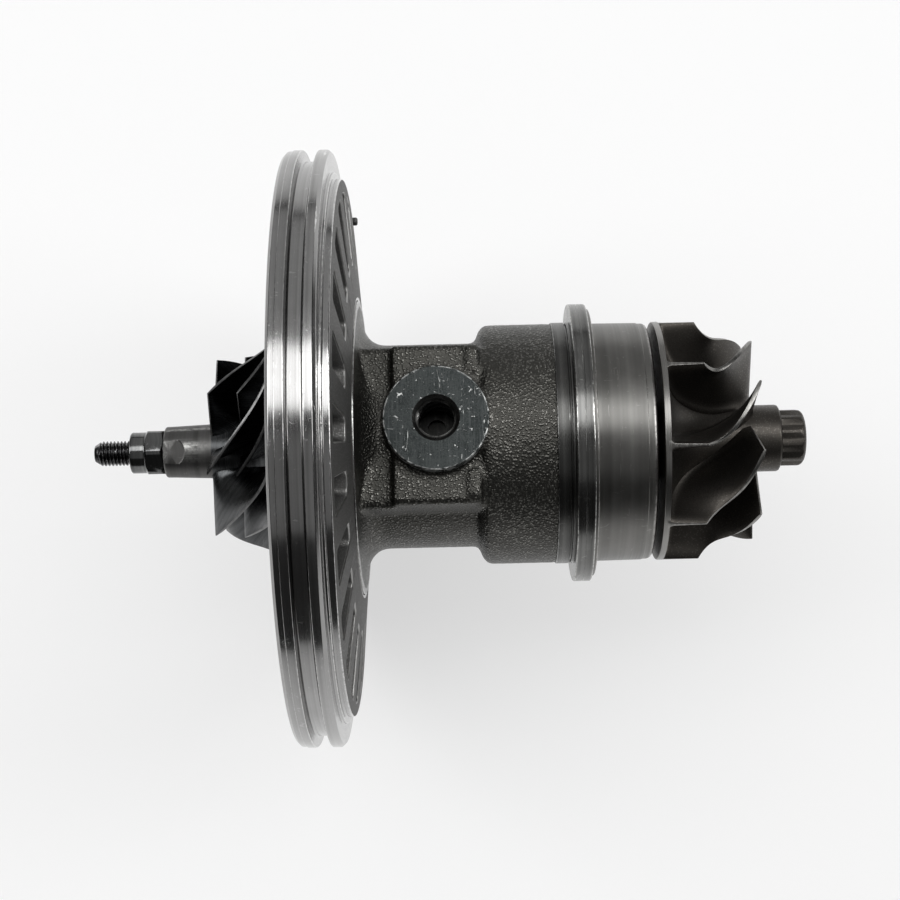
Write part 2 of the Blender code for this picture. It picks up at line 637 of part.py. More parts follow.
def backplate_outline():
    """The turned outline of the backplate: rim, back, housing seat, seal bore and wheel pocket."""
    land_end = plate_front + FRONT_LAND_LENGTH
    ridge_1_end = land_end + RIDGE_1_LENGTH
    ridge_2_start = ridge_1_end + GROOVE_WIDTH
    ridge_2_end = ridge_2_start + RIDGE_2_LENGTH
    back = ridge_2_end + RIDGE_2_CHAMFER
    step_1 = back + BACK_STEP_1_LENGTH
    step_2 = step_1 + BACK_STEP_2_LENGTH
    groove_radius = PLATE_RADIUS - GROOVE_DEPTH
    recess_radius = FRONT_FLANGE_RADIUS + SEAT_GAP
    snap_middle = snap_ring_middle()
    snap_half = SNAP_GROOVE_WIDTH / 2.0
    outline = [(plate_front, front_land_radius - FRONT_CHAMFER)]
    outline += [(plate_front + FRONT_CHAMFER, front_land_radius), (land_end, front_land_radius)]
    outline += [(land_end, PLATE_RADIUS), (ridge_1_end, PLATE_RADIUS)]
    outline += [(ridge_1_end + GROOVE_SLANT, groove_radius)]
    outline += [(ridge_2_start - GROOVE_SLANT, groove_radius), (ridge_2_start, PLATE_RADIUS)]
    outline += [(ridge_2_end, PLATE_RADIUS), (back, PLATE_RADIUS - RIDGE_2_CHAMFER)]
    outline += [(back, back_step_1_radius), (step_1, back_step_1_radius)]
    outline += [(step_1, back_step_2_radius), (step_2, back_step_2_radius)]
    outline += [(step_2 + CONE_HUB_RISE, CONE_HUB_RADIUS), (step_2 + CONE_HUB_RISE, recess_radius)]
    outline += [(plate_seat, recess_radius), (plate_seat, ledge_radius)]
    outline += [(seal_plate_shoulder, ledge_radius), (seal_plate_shoulder, seal_plate_bore)]
    snap_floor = seal_plate_bore + SNAP_GROOVE_DEPTH
    outline += [(snap_middle + snap_half, seal_plate_bore), (snap_middle + snap_half, snap_floor)]
    outline += [(snap_middle - snap_half, snap_floor), (snap_middle - snap_half, seal_plate_bore)]
    outline += [(wheel_pocket_floor, seal_plate_bore), (wheel_pocket_floor, WHEEL_POCKET_RADIUS)]
    outline += [(plate_front, WHEEL_POCKET_RADIUS)]
    return outline


def snap_ring_middle():
    """The snap ring stands in front of the seal plate."""
    return seal_plate_front - SEAT_GAP - SNAP_RING_THICKNESS / 2.0


def plate_rim_side():
    """The x of the conical back face at its rim side."""
    rim = FRONT_LAND_LENGTH + RIDGE_1_LENGTH + GROOVE_WIDTH + RIDGE_2_LENGTH + RIDGE_2_CHAMFER
    return plate_front + rim + BACK_STEP_1_LENGTH + BACK_STEP_2_LENGTH


def rib_pocket_outline():
    """One cast pocket of the backplate's back, wider at the rim, with cut corners."""
    inner = RIB_POCKET_WIDTH_INNER / 2.0
    outer = RIB_POCKET_WIDTH_OUTER / 2.0
    corner = RIB_POCKET_CORNER
    half = [(inner - corner, RIB_POCKET_INNER), (inner, RIB_POCKET_INNER + corner),
            (outer, rib_pocket_outer - corner), (outer - corner, rib_pocket_outer)]
    return half + [(-across, outward) for across, outward in reversed(half)]


def backplate(surface):
    """The big disc behind the compressor wheel."""
    plate = turned("compressor_backplate", backplate_outline(), FINE)
    rim_side = plate_rim_side()
    angles = spaced(RIB_POCKET_COUNT, pi / RIB_POCKET_COUNT)
    tools = [prisms("rib_pockets", rib_pocket_outline(), angles, rim_side - RIB_POCKET_DEPTH,
                    rim_side + CONE_HUB_RISE + OVERCUT)]
    head_floor = wheel_pocket_floor + PLATE_SCREW_SINK + PLATE_SCREW_HEAD + SEAT_GAP
    for angle in plate_screw_angles():
        mouth = polar(wheel_pocket_floor - OVERCUT, PLATE_SCREW_CIRCLE, angle)
        tools.append(rod("screw_sink", mouth, polar(head_floor, PLATE_SCREW_CIRCLE, angle),
                         PLATE_SCREW_HEAD_RADIUS + SEAT_GAP, SMALL))
        tools.append(rod("screw_hole", mouth, polar(plate_seat + OVERCUT, PLATE_SCREW_CIRCLE, angle),
                         PLATE_SCREW_RADIUS + SEAT_GAP, TINY))
    dowel_front = plate_seat - DOWEL_LENGTH / 2.0 - SEAT_GAP
    tools.append(rod("dowel_hole", polar(dowel_front, PLATE_SCREW_CIRCLE, 0.0),
                     polar(plate_seat + OVERCUT, PLATE_SCREW_CIRCLE, 0.0),
                     DOWEL_RADIUS + SEAT_GAP, TINY))
    pin_hole_front = rim_side - INDEX_PIN_DEPTH - SEAT_GAP
    tools.append(rod("pin_hole", polar(pin_hole_front, index_pin_circle, INDEX_PIN_ANGLE),
                     polar(rim_side + OVERCUT, index_pin_circle, INDEX_PIN_ANGLE),
                     INDEX_PIN_RADIUS + SEAT_GAP, TINY))
    combine(plate, tools, "DIFFERENCE")
    return finish(plate, surface)


def index_pin(surface):
    """The small locating pin on the backplate's back."""
    rim_side = plate_rim_side()
    start = polar(rim_side - INDEX_PIN_DEPTH, index_pin_circle, INDEX_PIN_ANGLE)
    end = polar(rim_side + INDEX_PIN_REACH, index_pin_circle, INDEX_PIN_ANGLE)
    pin = rod("backplate_index_pin", start, end, INDEX_PIN_RADIUS, TINY)
    return finish(pin, surface)


def plate_screw(number, angle, surface):
    """A socket-head screw that holds the backplate to the housing."""
    head_front = wheel_pocket_floor + PLATE_SCREW_SINK
    head_back = head_front + PLATE_SCREW_HEAD
    tip = housing_front + PLATE_SCREW_GRIP
    screw = rod(f"backplate_screw_{number}", polar(head_front, PLATE_SCREW_CIRCLE, angle),
                polar(head_back, PLATE_SCREW_CIRCLE, angle), PLATE_SCREW_HEAD_RADIUS, SMALL)
    shank = rod("shank", polar(head_back - SHANK_SINK, PLATE_SCREW_CIRCLE, angle),
                polar(tip, PLATE_SCREW_CIRCLE, angle), PLATE_SCREW_RADIUS, TINY)
    combine(screw, [shank], "UNION")
    socket = rod("socket", polar(head_front - OVERCUT, PLATE_SCREW_CIRCLE, angle),
                 polar(head_front + PLATE_SCREW_HEX_DEPTH, PLATE_SCREW_CIRCLE, angle),
                 PLATE_SCREW_HEX, 6)
    combine(screw, [socket], "DIFFERENCE")
    return finish(screw, surface)


def backplate_dowel(surface):
    """The dowel that sets the backplate's angle on the housing."""
    middle = (plate_seat + housing_front) / 2.0
    half = DOWEL_LENGTH / 2.0
    dowel = rod("backplate_dowel", polar(middle - half, PLATE_SCREW_CIRCLE, 0.0),
                polar(middle + half, PLATE_SCREW_CIRCLE, 0.0), DOWEL_RADIUS, TINY)
    return finish(dowel, surface)


def backplate_o_ring(surface):
    """The seal between the housing's front flange and the backplate."""
    floor = housing_front + PLATE_RING_GROOVE_DEPTH
    middle = floor - PLATE_RING_SECTION - RING_GAP
    outline = ring_outline(middle, PLATE_RING_RADIUS, PLATE_RING_SECTION)
    ring = turned("backplate_o_ring", outline, MEDIUM)
    return finish(ring, surface, radians(80.0))


def seal_plate(surface):
    """The insert that closes the oil side and carries the bore of the front piston ring."""
    groove_middle = (seal_plate_front + seal_plate_back) / 2.0
    half = SEAL_RING_GROOVE_WIDTH / 2.0
    groove_radius = SEAL_PLATE_RADIUS - SEAL_RING_GROOVE_DEPTH
    outline = [(seal_plate_front, seal_bore_front), (seal_plate_front, SEAL_PLATE_RADIUS)]
    outline += [(groove_middle - half, SEAL_PLATE_RADIUS), (groove_middle - half, groove_radius)]
    outline += [(groove_middle + half, groove_radius), (groove_middle + half, SEAL_PLATE_RADIUS)]
    outline += [(seal_plate_back, SEAL_PLATE_RADIUS), (seal_plate_back, seal_bore_front)]
    return finish(turned("seal_plate", outline, SEAL_PLATE_STEPS), surface)


def seal_plate_o_ring(surface):
    """The seal around the seal plate."""
    middle = (seal_plate_front + seal_plate_back) / 2.0
    radius = seal_plate_bore - SEAL_RING_SECTION - RING_GAP
    ring = turned("seal_plate_o_ring", ring_outline(middle, radius, SEAL_RING_SECTION), MEDIUM)
    return finish(ring, surface, radians(80.0))


def open_ring(name, middle, thickness, outer, wall, opening, steps, surface):
    """A flat sprung ring with a gap at the bottom."""
    half = thickness / 2.0
    outline = [(middle - half, outer - wall), (middle - half, outer)]
    outline += [(middle + half, outer), (middle + half, outer - wall)]
    ring = turned(name, outline, steps, 2.0 * pi - opening, pi + opening / 2.0)
    return finish(ring, surface)


def snap_ring(surface):
    """The ring that holds the seal plate in the backplate."""
    outer = SEAL_PLATE_RADIUS + SNAP_GROOVE_DEPTH
    return open_ring("seal_plate_snap_ring", snap_ring_middle(), SNAP_RING_THICKNESS, outer,
                     SNAP_RING_WALL, SNAP_RING_OPENING, COARSE, surface)


def thrust_bearing(surface):
    """The flat bronze plate that takes the end load, with grooves between its pads."""
    bore = THRUST_HUB_RADIUS + RUN_GAP
    outline = [(thrust_bearing_front, bore), (thrust_bearing_front, thrust_bearing_radius)]
    outline += [(thrust_bearing_back, thrust_bearing_radius), (thrust_bearing_back, bore)]
    plate = turned("thrust_bearing", outline, COARSE)
    tools = []
    for angle in spaced(THRUST_SCREW_COUNT, pi / THRUST_SCREW_COUNT):
        tools.append(rod("hole", polar(thrust_bearing_front - OVERCUT, thrust_screw_circle, angle),
                         polar(thrust_bearing_back + OVERCUT, thrust_screw_circle, angle),
                         THRUST_SCREW_RADIUS + SEAT_GAP, TINY))
    half = THRUST_PAD_SLOT / 2.0
    inner = bore - 2.0 * OVERCUT
    outer = THRUST_RING_RADIUS + RUN_GAP
    slot = [(-half, inner), (half, inner), (half, outer), (-half, outer)]
    depth = THRUST_PAD_SLOT / 2.0
    tools.append(prisms("pad_slots", slot, spaced(THRUST_PAD_COUNT), thrust_bearing_front - OVERCUT,
                        thrust_bearing_front + depth))
    combine(plate, tools, "DIFFERENCE")
    return finish(plate, surface)


def oil_deflector(surface):
    """The thin plate that keeps oil off the front seal."""
    bore = THRUST_RING_RADIUS + DEFLECTOR_HOLE_GAP
    outline = [(deflector_front, bore), (deflector_front, deflector_radius)]
    outline += [(deflector_back, deflector_radius), (deflector_back, bore)]
    plate = turned("oil_deflector", outline, COARSE)
    tools = []
    for angle in spaced(THRUST_SCREW_COUNT, pi / THRUST_SCREW_COUNT):
        tools.append(rod("hole", polar(deflector_front - OVERCUT, thrust_screw_circle, angle),
                         polar(deflector_back + OVERCUT, thrust_screw_circle, angle),
                         THRUST_SCREW_RADIUS + SEAT_GAP, TINY))
    combine(plate, tools, "DIFFERENCE")
    return finish(plate, surface)


def thrust_screw(number, angle, surface):
    """A slotted screw that holds the thrust bearing and the deflector in the housing."""
    head_back = deflector_front - SEAT_GAP
    head_front = head_back - THRUST_SCREW_HEAD
    tip = thrust_pocket_floor + THRUST_SCREW_GRIP
    screw = rod(f"thrust_screw_{number}", polar(head_front, thrust_screw_circle, angle),
                polar(head_back, thrust_screw_circle, angle), THRUST_SCREW_HEAD_RADIUS, SMALL)
    shank = rod("shank", polar(head_back - SHANK_SINK, thrust_screw_circle, angle),
                polar(tip, thrust_screw_circle, angle), THRUST_SCREW_RADIUS, TINY)
    combine(screw, [shank], "UNION")
    half = THRUST_SCREW_SLOT / 2.0
    reach = THRUST_SCREW_HEAD_RADIUS + OVERCUT
    outline = [(-half, thrust_screw_circle - reach), (half, thrust_screw_circle - reach),
               (half, thrust_screw_circle + reach), (-half, thrust_screw_circle + reach)]
    slot = prisms("slot", outline, [angle], head_front - OVERCUT, head_front + THRUST_SCREW_SLOT)
    combine(screw, [slot], "DIFFERENCE")
    return finish(screw, surface)


def thrust_collar(surface):
    """The turning collar in front of the thrust bearing, with a hub through its bore."""
    hub_end = runner_front - SEAT_GAP
    outline = [(collar_front, stub_bore), (collar_front, THRUST_RING_RADIUS)]
    outline += [(collar_back, THRUST_RING_RADIUS), (collar_back, THRUST_HUB_RADIUS)]
    outline += [(hub_end, THRUST_HUB_RADIUS), (hub_end, stub_bore)]
    return finish(turned("thrust_collar", outline, COARSE), surface)


def thrust_runner(surface):
    """The turning ring behind the thrust bearing, against the shaft's shoulder."""
    outline = [(runner_front, stub_bore), (runner_front, THRUST_RING_RADIUS)]
    outline += [(runner_back, THRUST_RING_RADIUS), (runner_back, stub_bore)]
    return finish(turned("thrust_runner", outline, COARSE), surface)


def ring_groove(middle, radius, bore):
    """Four points of a piston ring's groove, in an outline that runs towards +X."""
    half = PISTON_RING_WIDTH / 2.0 + PISTON_RING_SIDE_GAP
    floor = bore - RING_GAP - PISTON_RING_WALL - SEAT_GAP
    front = [(middle - half, radius), (middle - half, floor)]
    return front + [(middle + half, floor), (middle + half, radius)]


def front_ring_middle():
    """The front piston ring stands in the middle of the seal plate's bore."""
    return (seal_plate_front + seal_plate_back) / 2.0


def rear_ring_middle():
    """The rear piston ring stands in the seal bore of the housing's nose."""
    return NOSE_LENGTH - REAR_RING_SETBACK


def seal_sleeve(surface):
    """The turning sleeve between the compressor wheel and the thrust collar."""
    outline = [(sleeve_front, stub_bore), (sleeve_front, SLEEVE_RADIUS)]
    outline += ring_groove(front_ring_middle(), SLEEVE_RADIUS, seal_bore_front)
    outline += [(sleeve_back, SLEEVE_RADIUS), (sleeve_back, stub_bore)]
    return finish(turned("seal_sleeve", outline, COARSE), surface)


def piston_ring(name, middle, bore, surface):
    """A split iron ring that stands still in its bore and seals against a groove's walls."""
    return open_ring(name, middle, PISTON_RING_WIDTH, bore - RING_GAP, PISTON_RING_WALL,
                     PISTON_RING_OPENING, COARSE, surface)


def shaft(surface):
    """The shaft, with the thread, the stub, the journals and the ringed boss at the turbine."""
    tip = thread_tip
    outline = [(tip, 0.0), (tip, THREAD_TIP_RADIUS), (tip + THREAD_TIP_LENGTH, STUB_RADIUS)]
    outline += [(shaft_shoulder, STUB_RADIUS), (shaft_shoulder, JOURNAL_RADIUS)]
    outline += [(SEAL_BOSS_START, JOURNAL_RADIUS)]
    outline += [(SEAL_BOSS_START + SEAL_BOSS_CHAMFER, SEAL_BOSS_RADIUS)]
    outline += ring_groove(rear_ring_middle(), SEAL_BOSS_RADIUS, seal_bore_rear)
    outline += [(boss_end, SEAL_BOSS_RADIUS), (boss_end, SPIGOT_RADIUS)]
    outline += [(boss_end + SPIGOT_LENGTH, SPIGOT_RADIUS), (boss_end + SPIGOT_LENGTH, 0.0)]
    return finish(turned("shaft", outline, COARSE), surface)


def journal_bearing(name, middle, surface):
    """A full-floating bronze bush with a row of oil holes."""
    half = BEARING_LENGTH / 2.0
    bore = JOURNAL_RADIUS + RUN_GAP
    outline = [(middle - half, bore), (middle - half, bearing_radius)]
    outline += [(middle + half, bearing_radius), (middle + half, bore)]
    bush = turned(name, outline, COARSE)
    tools = []
    for angle in spaced(BEARING_OIL_HOLES, pi / BEARING_OIL_HOLES):
        tools.append(rod("oil_hole", polar(middle, bore - OVERCUT, angle),
                         polar(middle, bearing_radius + OVERCUT, angle), BEARING_OIL_HOLE_RADIUS, TINY))
    combine(bush, tools, "DIFFERENCE")
    return finish(bush, surface)


def bearing_clip(name, middle, surface):
    """A clip in the housing bore beside a journal bearing."""
    outer = bearing_bore + CLIP_GROOVE_DEPTH - SEAT_GAP
    return open_ring(name, middle, CLIP_THICKNESS, outer, CLIP_WALL, CLIP_OPENING, CLIP_STEPS,
                     surface)


def blend(start, end, share):
    """A point between two (x, radius) points."""
    return (start[0] + (end[0] - start[0]) * share, start[1] + (end[1] - start[1]) * share)


def compressor_hub(share):
    """The hub line of the compressor wheel, from the nose to the disc's edge."""
    start = (wheel_front + INDUCER_SETBACK - INDUCER_ROOT_LEAD, NOSE_BACK_RADIUS)
    end = (wheel_back - COMPRESSOR_DISC_EDGE, COMPRESSOR_RADIUS)
    turn = share * pi / 2.0
    x = start[0] + (end[0] - start[0]) * sin(turn)
    return (x, start[1] + (end[1] - start[1]) * (1.0 - cos(turn)) ** COMPRESSOR_HUB_CURVE)


def compressor_shroud(share):
    """The outer edge line of the compressor blades, from the inducer to the exit."""
    start = (wheel_front + INDUCER_SETBACK, INDUCER_RADIUS)
    end = (wheel_back - COMPRESSOR_DISC_EDGE - COMPRESSOR_EXIT_WIDTH, COMPRESSOR_RADIUS)
    turn = share * pi / 2.0
    along, across = COMPRESSOR_SHROUD_CURVES
    x = start[0] + (end[0] - start[0]) * sin(turn) ** along
    return (x, start[1] + (end[1] - start[1]) * (1.0 - cos(turn)) ** across)


def blade_shell(bm, hub_line, shroud_line, angle_at, first_share, root, tip, steps):
    """Add one closed blade to a bmesh, straight from its root to its tip.

    hub_line and shroud_line give (x, radius) at a share of the blade's length, and angle_at gives
    its angle at a share of the length and of the height. The root is sunk into the hub.
    """
    def end(share, height):
        point = blend(hub_line(share), shroud_line(share), height)
        return polar(point[0], point[1], angle_at(share, height, point))

    def middle(share, height):
        return end(share, 0.0).lerp(end(share, 1.0), height)

    def sides(share, height):
        ahead = middle(min(share + BLADE_NUDGE, 1.0), height)
        along = ahead - middle(max(share - BLADE_NUDGE, 0.0), height)
        up = middle(share, 1.0) - middle(share, 0.0)
        normal = along.cross(up).normalized()
        half = (root + (tip - root) * max(height, 0.0)) / 2.0
        edge = min((share - first_share) / BLADE_ENTRY_TAPER, (1.0 - share) / BLADE_EXIT_TAPER, 1.0)
        half *= BLADE_EDGE_THICKNESS + (1.0 - BLADE_EDGE_THICKNESS) * max(edge, 0.0)
        here = middle(share, height)
        return [bm.verts.new(here + normal * half), bm.verts.new(here - normal * half)]

    rungs = []
    for step in range(steps + 1):
        share = first_share + (1.0 - first_share) * step / steps
        low = sides(share, BLADE_SINK)
        high = sides(share, 1.0)
        rungs.append([low[0], high[0], high[1], low[1]])
    for rung, following in zip(rungs, rungs[1:]):
        for side in range(4):
            after = (side + 1) % 4
            bm.faces.new((rung[side], following[side], following[after], rung[after]))
    bm.faces.new(rungs[0])
    bm.faces.new(rungs[-1])


def line_length(line, share):
    """The length of a hub or shroud line from its start to a share of the blade."""
    points = [line(share * step / LINE_STEPS) for step in range(LINE_STEPS + 1)]
    return sum(hypot(b[0] - a[0], b[1] - a[1]) for a, b in zip(points, points[1:]))


def share_where(line, x):
    """The share of the blade at which a line passes a station along the shaft."""
    low = 0.0
    high = 1.0
    for _ in range(HALVINGS):
        middle = (low + high) / 2.0
        if line(middle)[0] < x:
            low = middle
        else:
            high = middle
    return low


def compressor_angle(first):
    """The angle of a compressor blade that starts at an angle: it wraps back all the way."""
    whole = line_length(compressor_shroud, 1.0)

    def angle_at(share, height, point):
        run = line_length(compressor_shroud, share) / whole
        early, loss = COMPRESSOR_WRAP_RATES
        return first + COMPRESSOR_WRAP * (early * run - loss * run * run)
    return angle_at


def compressor_wheel(surface):
    """The compressor wheel: a bored hub with full blades and shorter splitter blades."""
    hub = [(wheel_back, stub_bore), (wheel_front, stub_bore)]
    hub += [(wheel_front, NOSE_FRONT_RADIUS - NOSE_CHAMFER)]
    hub += [(wheel_front + NOSE_CHAMFER, NOSE_FRONT_RADIUS)]
    hub += [compressor_hub(step / HUB_STEPS) for step in range(HUB_STEPS + 1)]
    hub += [(wheel_back, COMPRESSOR_RADIUS)]
    wheel = turned("compressor_wheel", hub, WHEEL_STEPS)
    splitter_share = share_where(compressor_shroud, wheel_front + SPLITTER_SETBACK)
    bm = bmesh.new()
    for angle in spaced(COMPRESSOR_BLADES, COMPRESSOR_BLADE_ANGLE):
        blade_shell(bm, compressor_hub, compressor_shroud, compressor_angle(angle), 0.0,
                    COMPRESSOR_BLADE_ROOT, COMPRESSOR_BLADE_TIP, HUB_STEPS)
        between = compressor_angle(angle + pi / COMPRESSOR_BLADES)
        blade_shell(bm, compressor_hub, compressor_shroud, between, splitter_share,
                    COMPRESSOR_BLADE_ROOT, COMPRESSOR_BLADE_TIP, SPLITTER_STEPS)
    combine(wheel, [object_from(bm, "blades")], "UNION")
    reach = 2.0 * NOSE_BACK_RADIUS
    outline = [(-reach, NOSE_FLAT_HEIGHT), (reach, NOSE_FLAT_HEIGHT), (reach, reach), (-reach, reach)]
    cutter_x = wheel_front + NOSE_FLAT_LENGTH - NOSE_CUTTER_RADIUS
    flat = prisms("flat", outline, [NOSE_FLAT_ANGLE], wheel_front - OVERCUT, cutter_x)
    end = rod("flat_end", polar(cutter_x, NOSE_FLAT_HEIGHT, NOSE_FLAT_ANGLE),
              polar(cutter_x, reach, NOSE_FLAT_ANGLE), NOSE_CUTTER_RADIUS, COARSE)
    combine(wheel, [flat, end], "DIFFERENCE")
    return finish(wheel, surface)


def shaft_nut(surface):
    """The shaft nut: a hexagon with turned corners and a round collar in front."""
    collar_end = nut_front + NUT_COLLAR_LENGTH
    blank = [(nut_front, stub_bore), (nut_front, NUT_COLLAR_RADIUS - NUT_CHAMFER)]
    blank += [(nut_front + NUT_CHAMFER, NUT_COLLAR_RADIUS), (collar_end, NUT_COLLAR_RADIUS)]
    blank += [(collar_end, NUT_CORNER_RADIUS - NUT_CHAMFER)]
    blank += [(collar_end + NUT_CHAMFER, NUT_CORNER_RADIUS), (nut_back - NUT_CHAMFER, NUT_CORNER_RADIUS)]
    blank += [(nut_back, NUT_CORNER_RADIUS - NUT_CHAMFER), (nut_back, stub_bore)]
    nut = turned("shaft_nut", blank, COARSE)
    corner = NUT_FLATS / 2.0 / cos(pi / 6.0)
    outline = [(corner * sin(turn), corner * cos(turn)) for turn in spaced(6)]
    hexagon = prisms("hexagon", outline, [NUT_ANGLE], nut_front - OVERCUT, nut_back + OVERCUT)
    combine(nut, [hexagon], "INTERSECT")
    return finish(nut, surface)


def heat_shield(surface):
    """The pressed cup between the housing and the turbine wheel, with its foot on the flange."""
    foot_front = SEAT_GAP - SHIELD_RECESS_DEPTH
    foot_back = foot_front + SHIELD_WALL
    inside = SHIELD_RADIUS - SHIELD_WALL
    end_inside = SHIELD_LENGTH - SHIELD_WALL
    corner_x = SHIELD_LENGTH - SHIELD_CORNER
    corner_radius = SHIELD_RADIUS - SHIELD_CORNER
    outer = arc(corner_x, corner_radius, SHIELD_CORNER, pi / 2.0, 0.0, 3)
    inner = arc(corner_x, corner_radius, SHIELD_CORNER - SHIELD_WALL, 0.0, pi / 2.0, 2)
    outline = [(foot_front, inside), (foot_front, SHIELD_FOOT_RADIUS), (foot_back, SHIELD_FOOT_RADIUS)]
    outline += [(foot_back, SHIELD_RADIUS)] + outer
    outline += [(SHIELD_LENGTH, SHIELD_HOLE_RADIUS), (end_inside, SHIELD_HOLE_RADIUS)] + inner
    return finish(turned("heat_shield", outline, MEDIUM), surface)


def turbine_hub(share):
    """The hub line of the turbine wheel, from the disc's edge to the exducer."""
    start = (TURBINE_DISC_X + TURBINE_DISC_EDGE, TURBINE_RADIUS)
    end = (EXDUCER_X, TURBINE_HUB_RADIUS)
    turn = share * pi / 2.0
    x = start[0] + (end[0] - start[0]) * (1.0 - cos(turn)) ** TURBINE_HUB_CURVES[0]
    return (x, start[1] + (end[1] - start[1]) * sin(turn) ** TURBINE_HUB_CURVES[1])


def turbine_shroud(share):
    """The outer edge line of the turbine blades: a quick drop, then the round exducer."""
    start_x = TURBINE_DISC_X + TURBINE_DISC_EDGE + TURBINE_INLET_WIDTH
    x = start_x + (EXDUCER_X - start_x) * share
    left = max(1.0 - (x - start_x) / SHROUD_DROP_LENGTH, 0.0)
    return (x, EXDUCER_RADIUS + (TURBINE_RADIUS - EXDUCER_RADIUS) * left ** TURBINE_DROP_CURVE)


def turbine_angle(first):
    """The angle of a turbine blade: radial at the inlet and curved back at the exit."""
    start_x = TURBINE_DISC_X + TURBINE_DISC_EDGE + TURBINE_INLET_WIDTH

    def angle_at(share, height, point):
        run = max(point[0] - start_x, 0.0) / (EXDUCER_X - start_x)
        lean = TURBINE_LEAN * share ** 3 * (1.0 - height)
        return first + TURBINE_WRAP * run ** TURBINE_WRAP_CURVE + lean
    return angle_at


def nose_points(steps):
    """The rounded end of the turbine wheel's nose, as an outline."""
    end = TURBINE_HUB_END + TURBINE_NOSE_LENGTH
    corner = arc(end - TURBINE_NOSE_ROUNDING, TURBINE_NOSE_RADIUS - TURBINE_NOSE_ROUNDING,
                 TURBINE_NOSE_ROUNDING, pi / 2.0, 0.0, steps)
    start = TURBINE_HUB_END - TURBINE_NOSE_SINK
    return [(start, 0.0), (start, TURBINE_NOSE_RADIUS)] + corner + [(end, 0.0)]


def turbine_wheel(surface):
    """The turbine wheel: a full back disc, curved blades and a nose with twelve points."""
    spigot_bore = SPIGOT_RADIUS + SEAT_GAP
    bore_end = boss_end + SPIGOT_LENGTH + SEAT_GAP
    hub = [(bore_end, 0.0), (bore_end, spigot_bore), (turbine_boss_front, spigot_bore)]
    hub += [(turbine_boss_front, TURBINE_BACK_BOSS_RADIUS), (TURBINE_DISC_X, TURBINE_BACK_BOSS_RADIUS)]
    hub += [(TURBINE_DISC_X, TURBINE_RADIUS)]
    hub += [turbine_hub(step / HUB_STEPS) for step in range(HUB_STEPS + 1)]
    hub += [(TURBINE_HUB_END - TURBINE_HUB_CHAMFER, TURBINE_HUB_RADIUS)]
    hub += [(TURBINE_HUB_END, TURBINE_HUB_RADIUS - TURBINE_HUB_CHAMFER), (TURBINE_HUB_END, 0.0)]
    wheel = turned("turbine_wheel", hub, WHEEL_STEPS)
    nose = turned("nose", nose_points(2), NOSE_STEPS)
    notch = TURBINE_NOSE_RADIUS * cos(2.0 * pi / TURBINE_NOSE_POINTS) / cos(pi / TURBINE_NOSE_POINTS)
    star = []
    for index, turn in enumerate(spaced(2 * TURBINE_NOSE_POINTS)):
        radius = TURBINE_NOSE_RADIUS + SEAT_GAP if index % 2 == 0 else notch
        star.append((radius * sin(turn), radius * cos(turn)))
    star_start = TURBINE_HUB_END - TURBINE_NOSE_SINK - OVERCUT
    star_end = TURBINE_HUB_END + TURBINE_NOSE_LENGTH + OVERCUT
    points = prisms("points", star, [0.0], star_start, star_end)
    combine(nose, [points], "INTERSECT")
    bm = bmesh.new()
    for angle in spaced(TURBINE_BLADES, TURBINE_BLADE_ANGLE):
        blade_shell(bm, turbine_hub, turbine_shroud, turbine_angle(angle), 0.0,
                    TURBINE_BLADE_ROOT, TURBINE_BLADE_TIP, HUB_STEPS)
    combine(wheel, [nose, object_from(bm, "blades")], "UNION")
    return finish(wheel, surface)


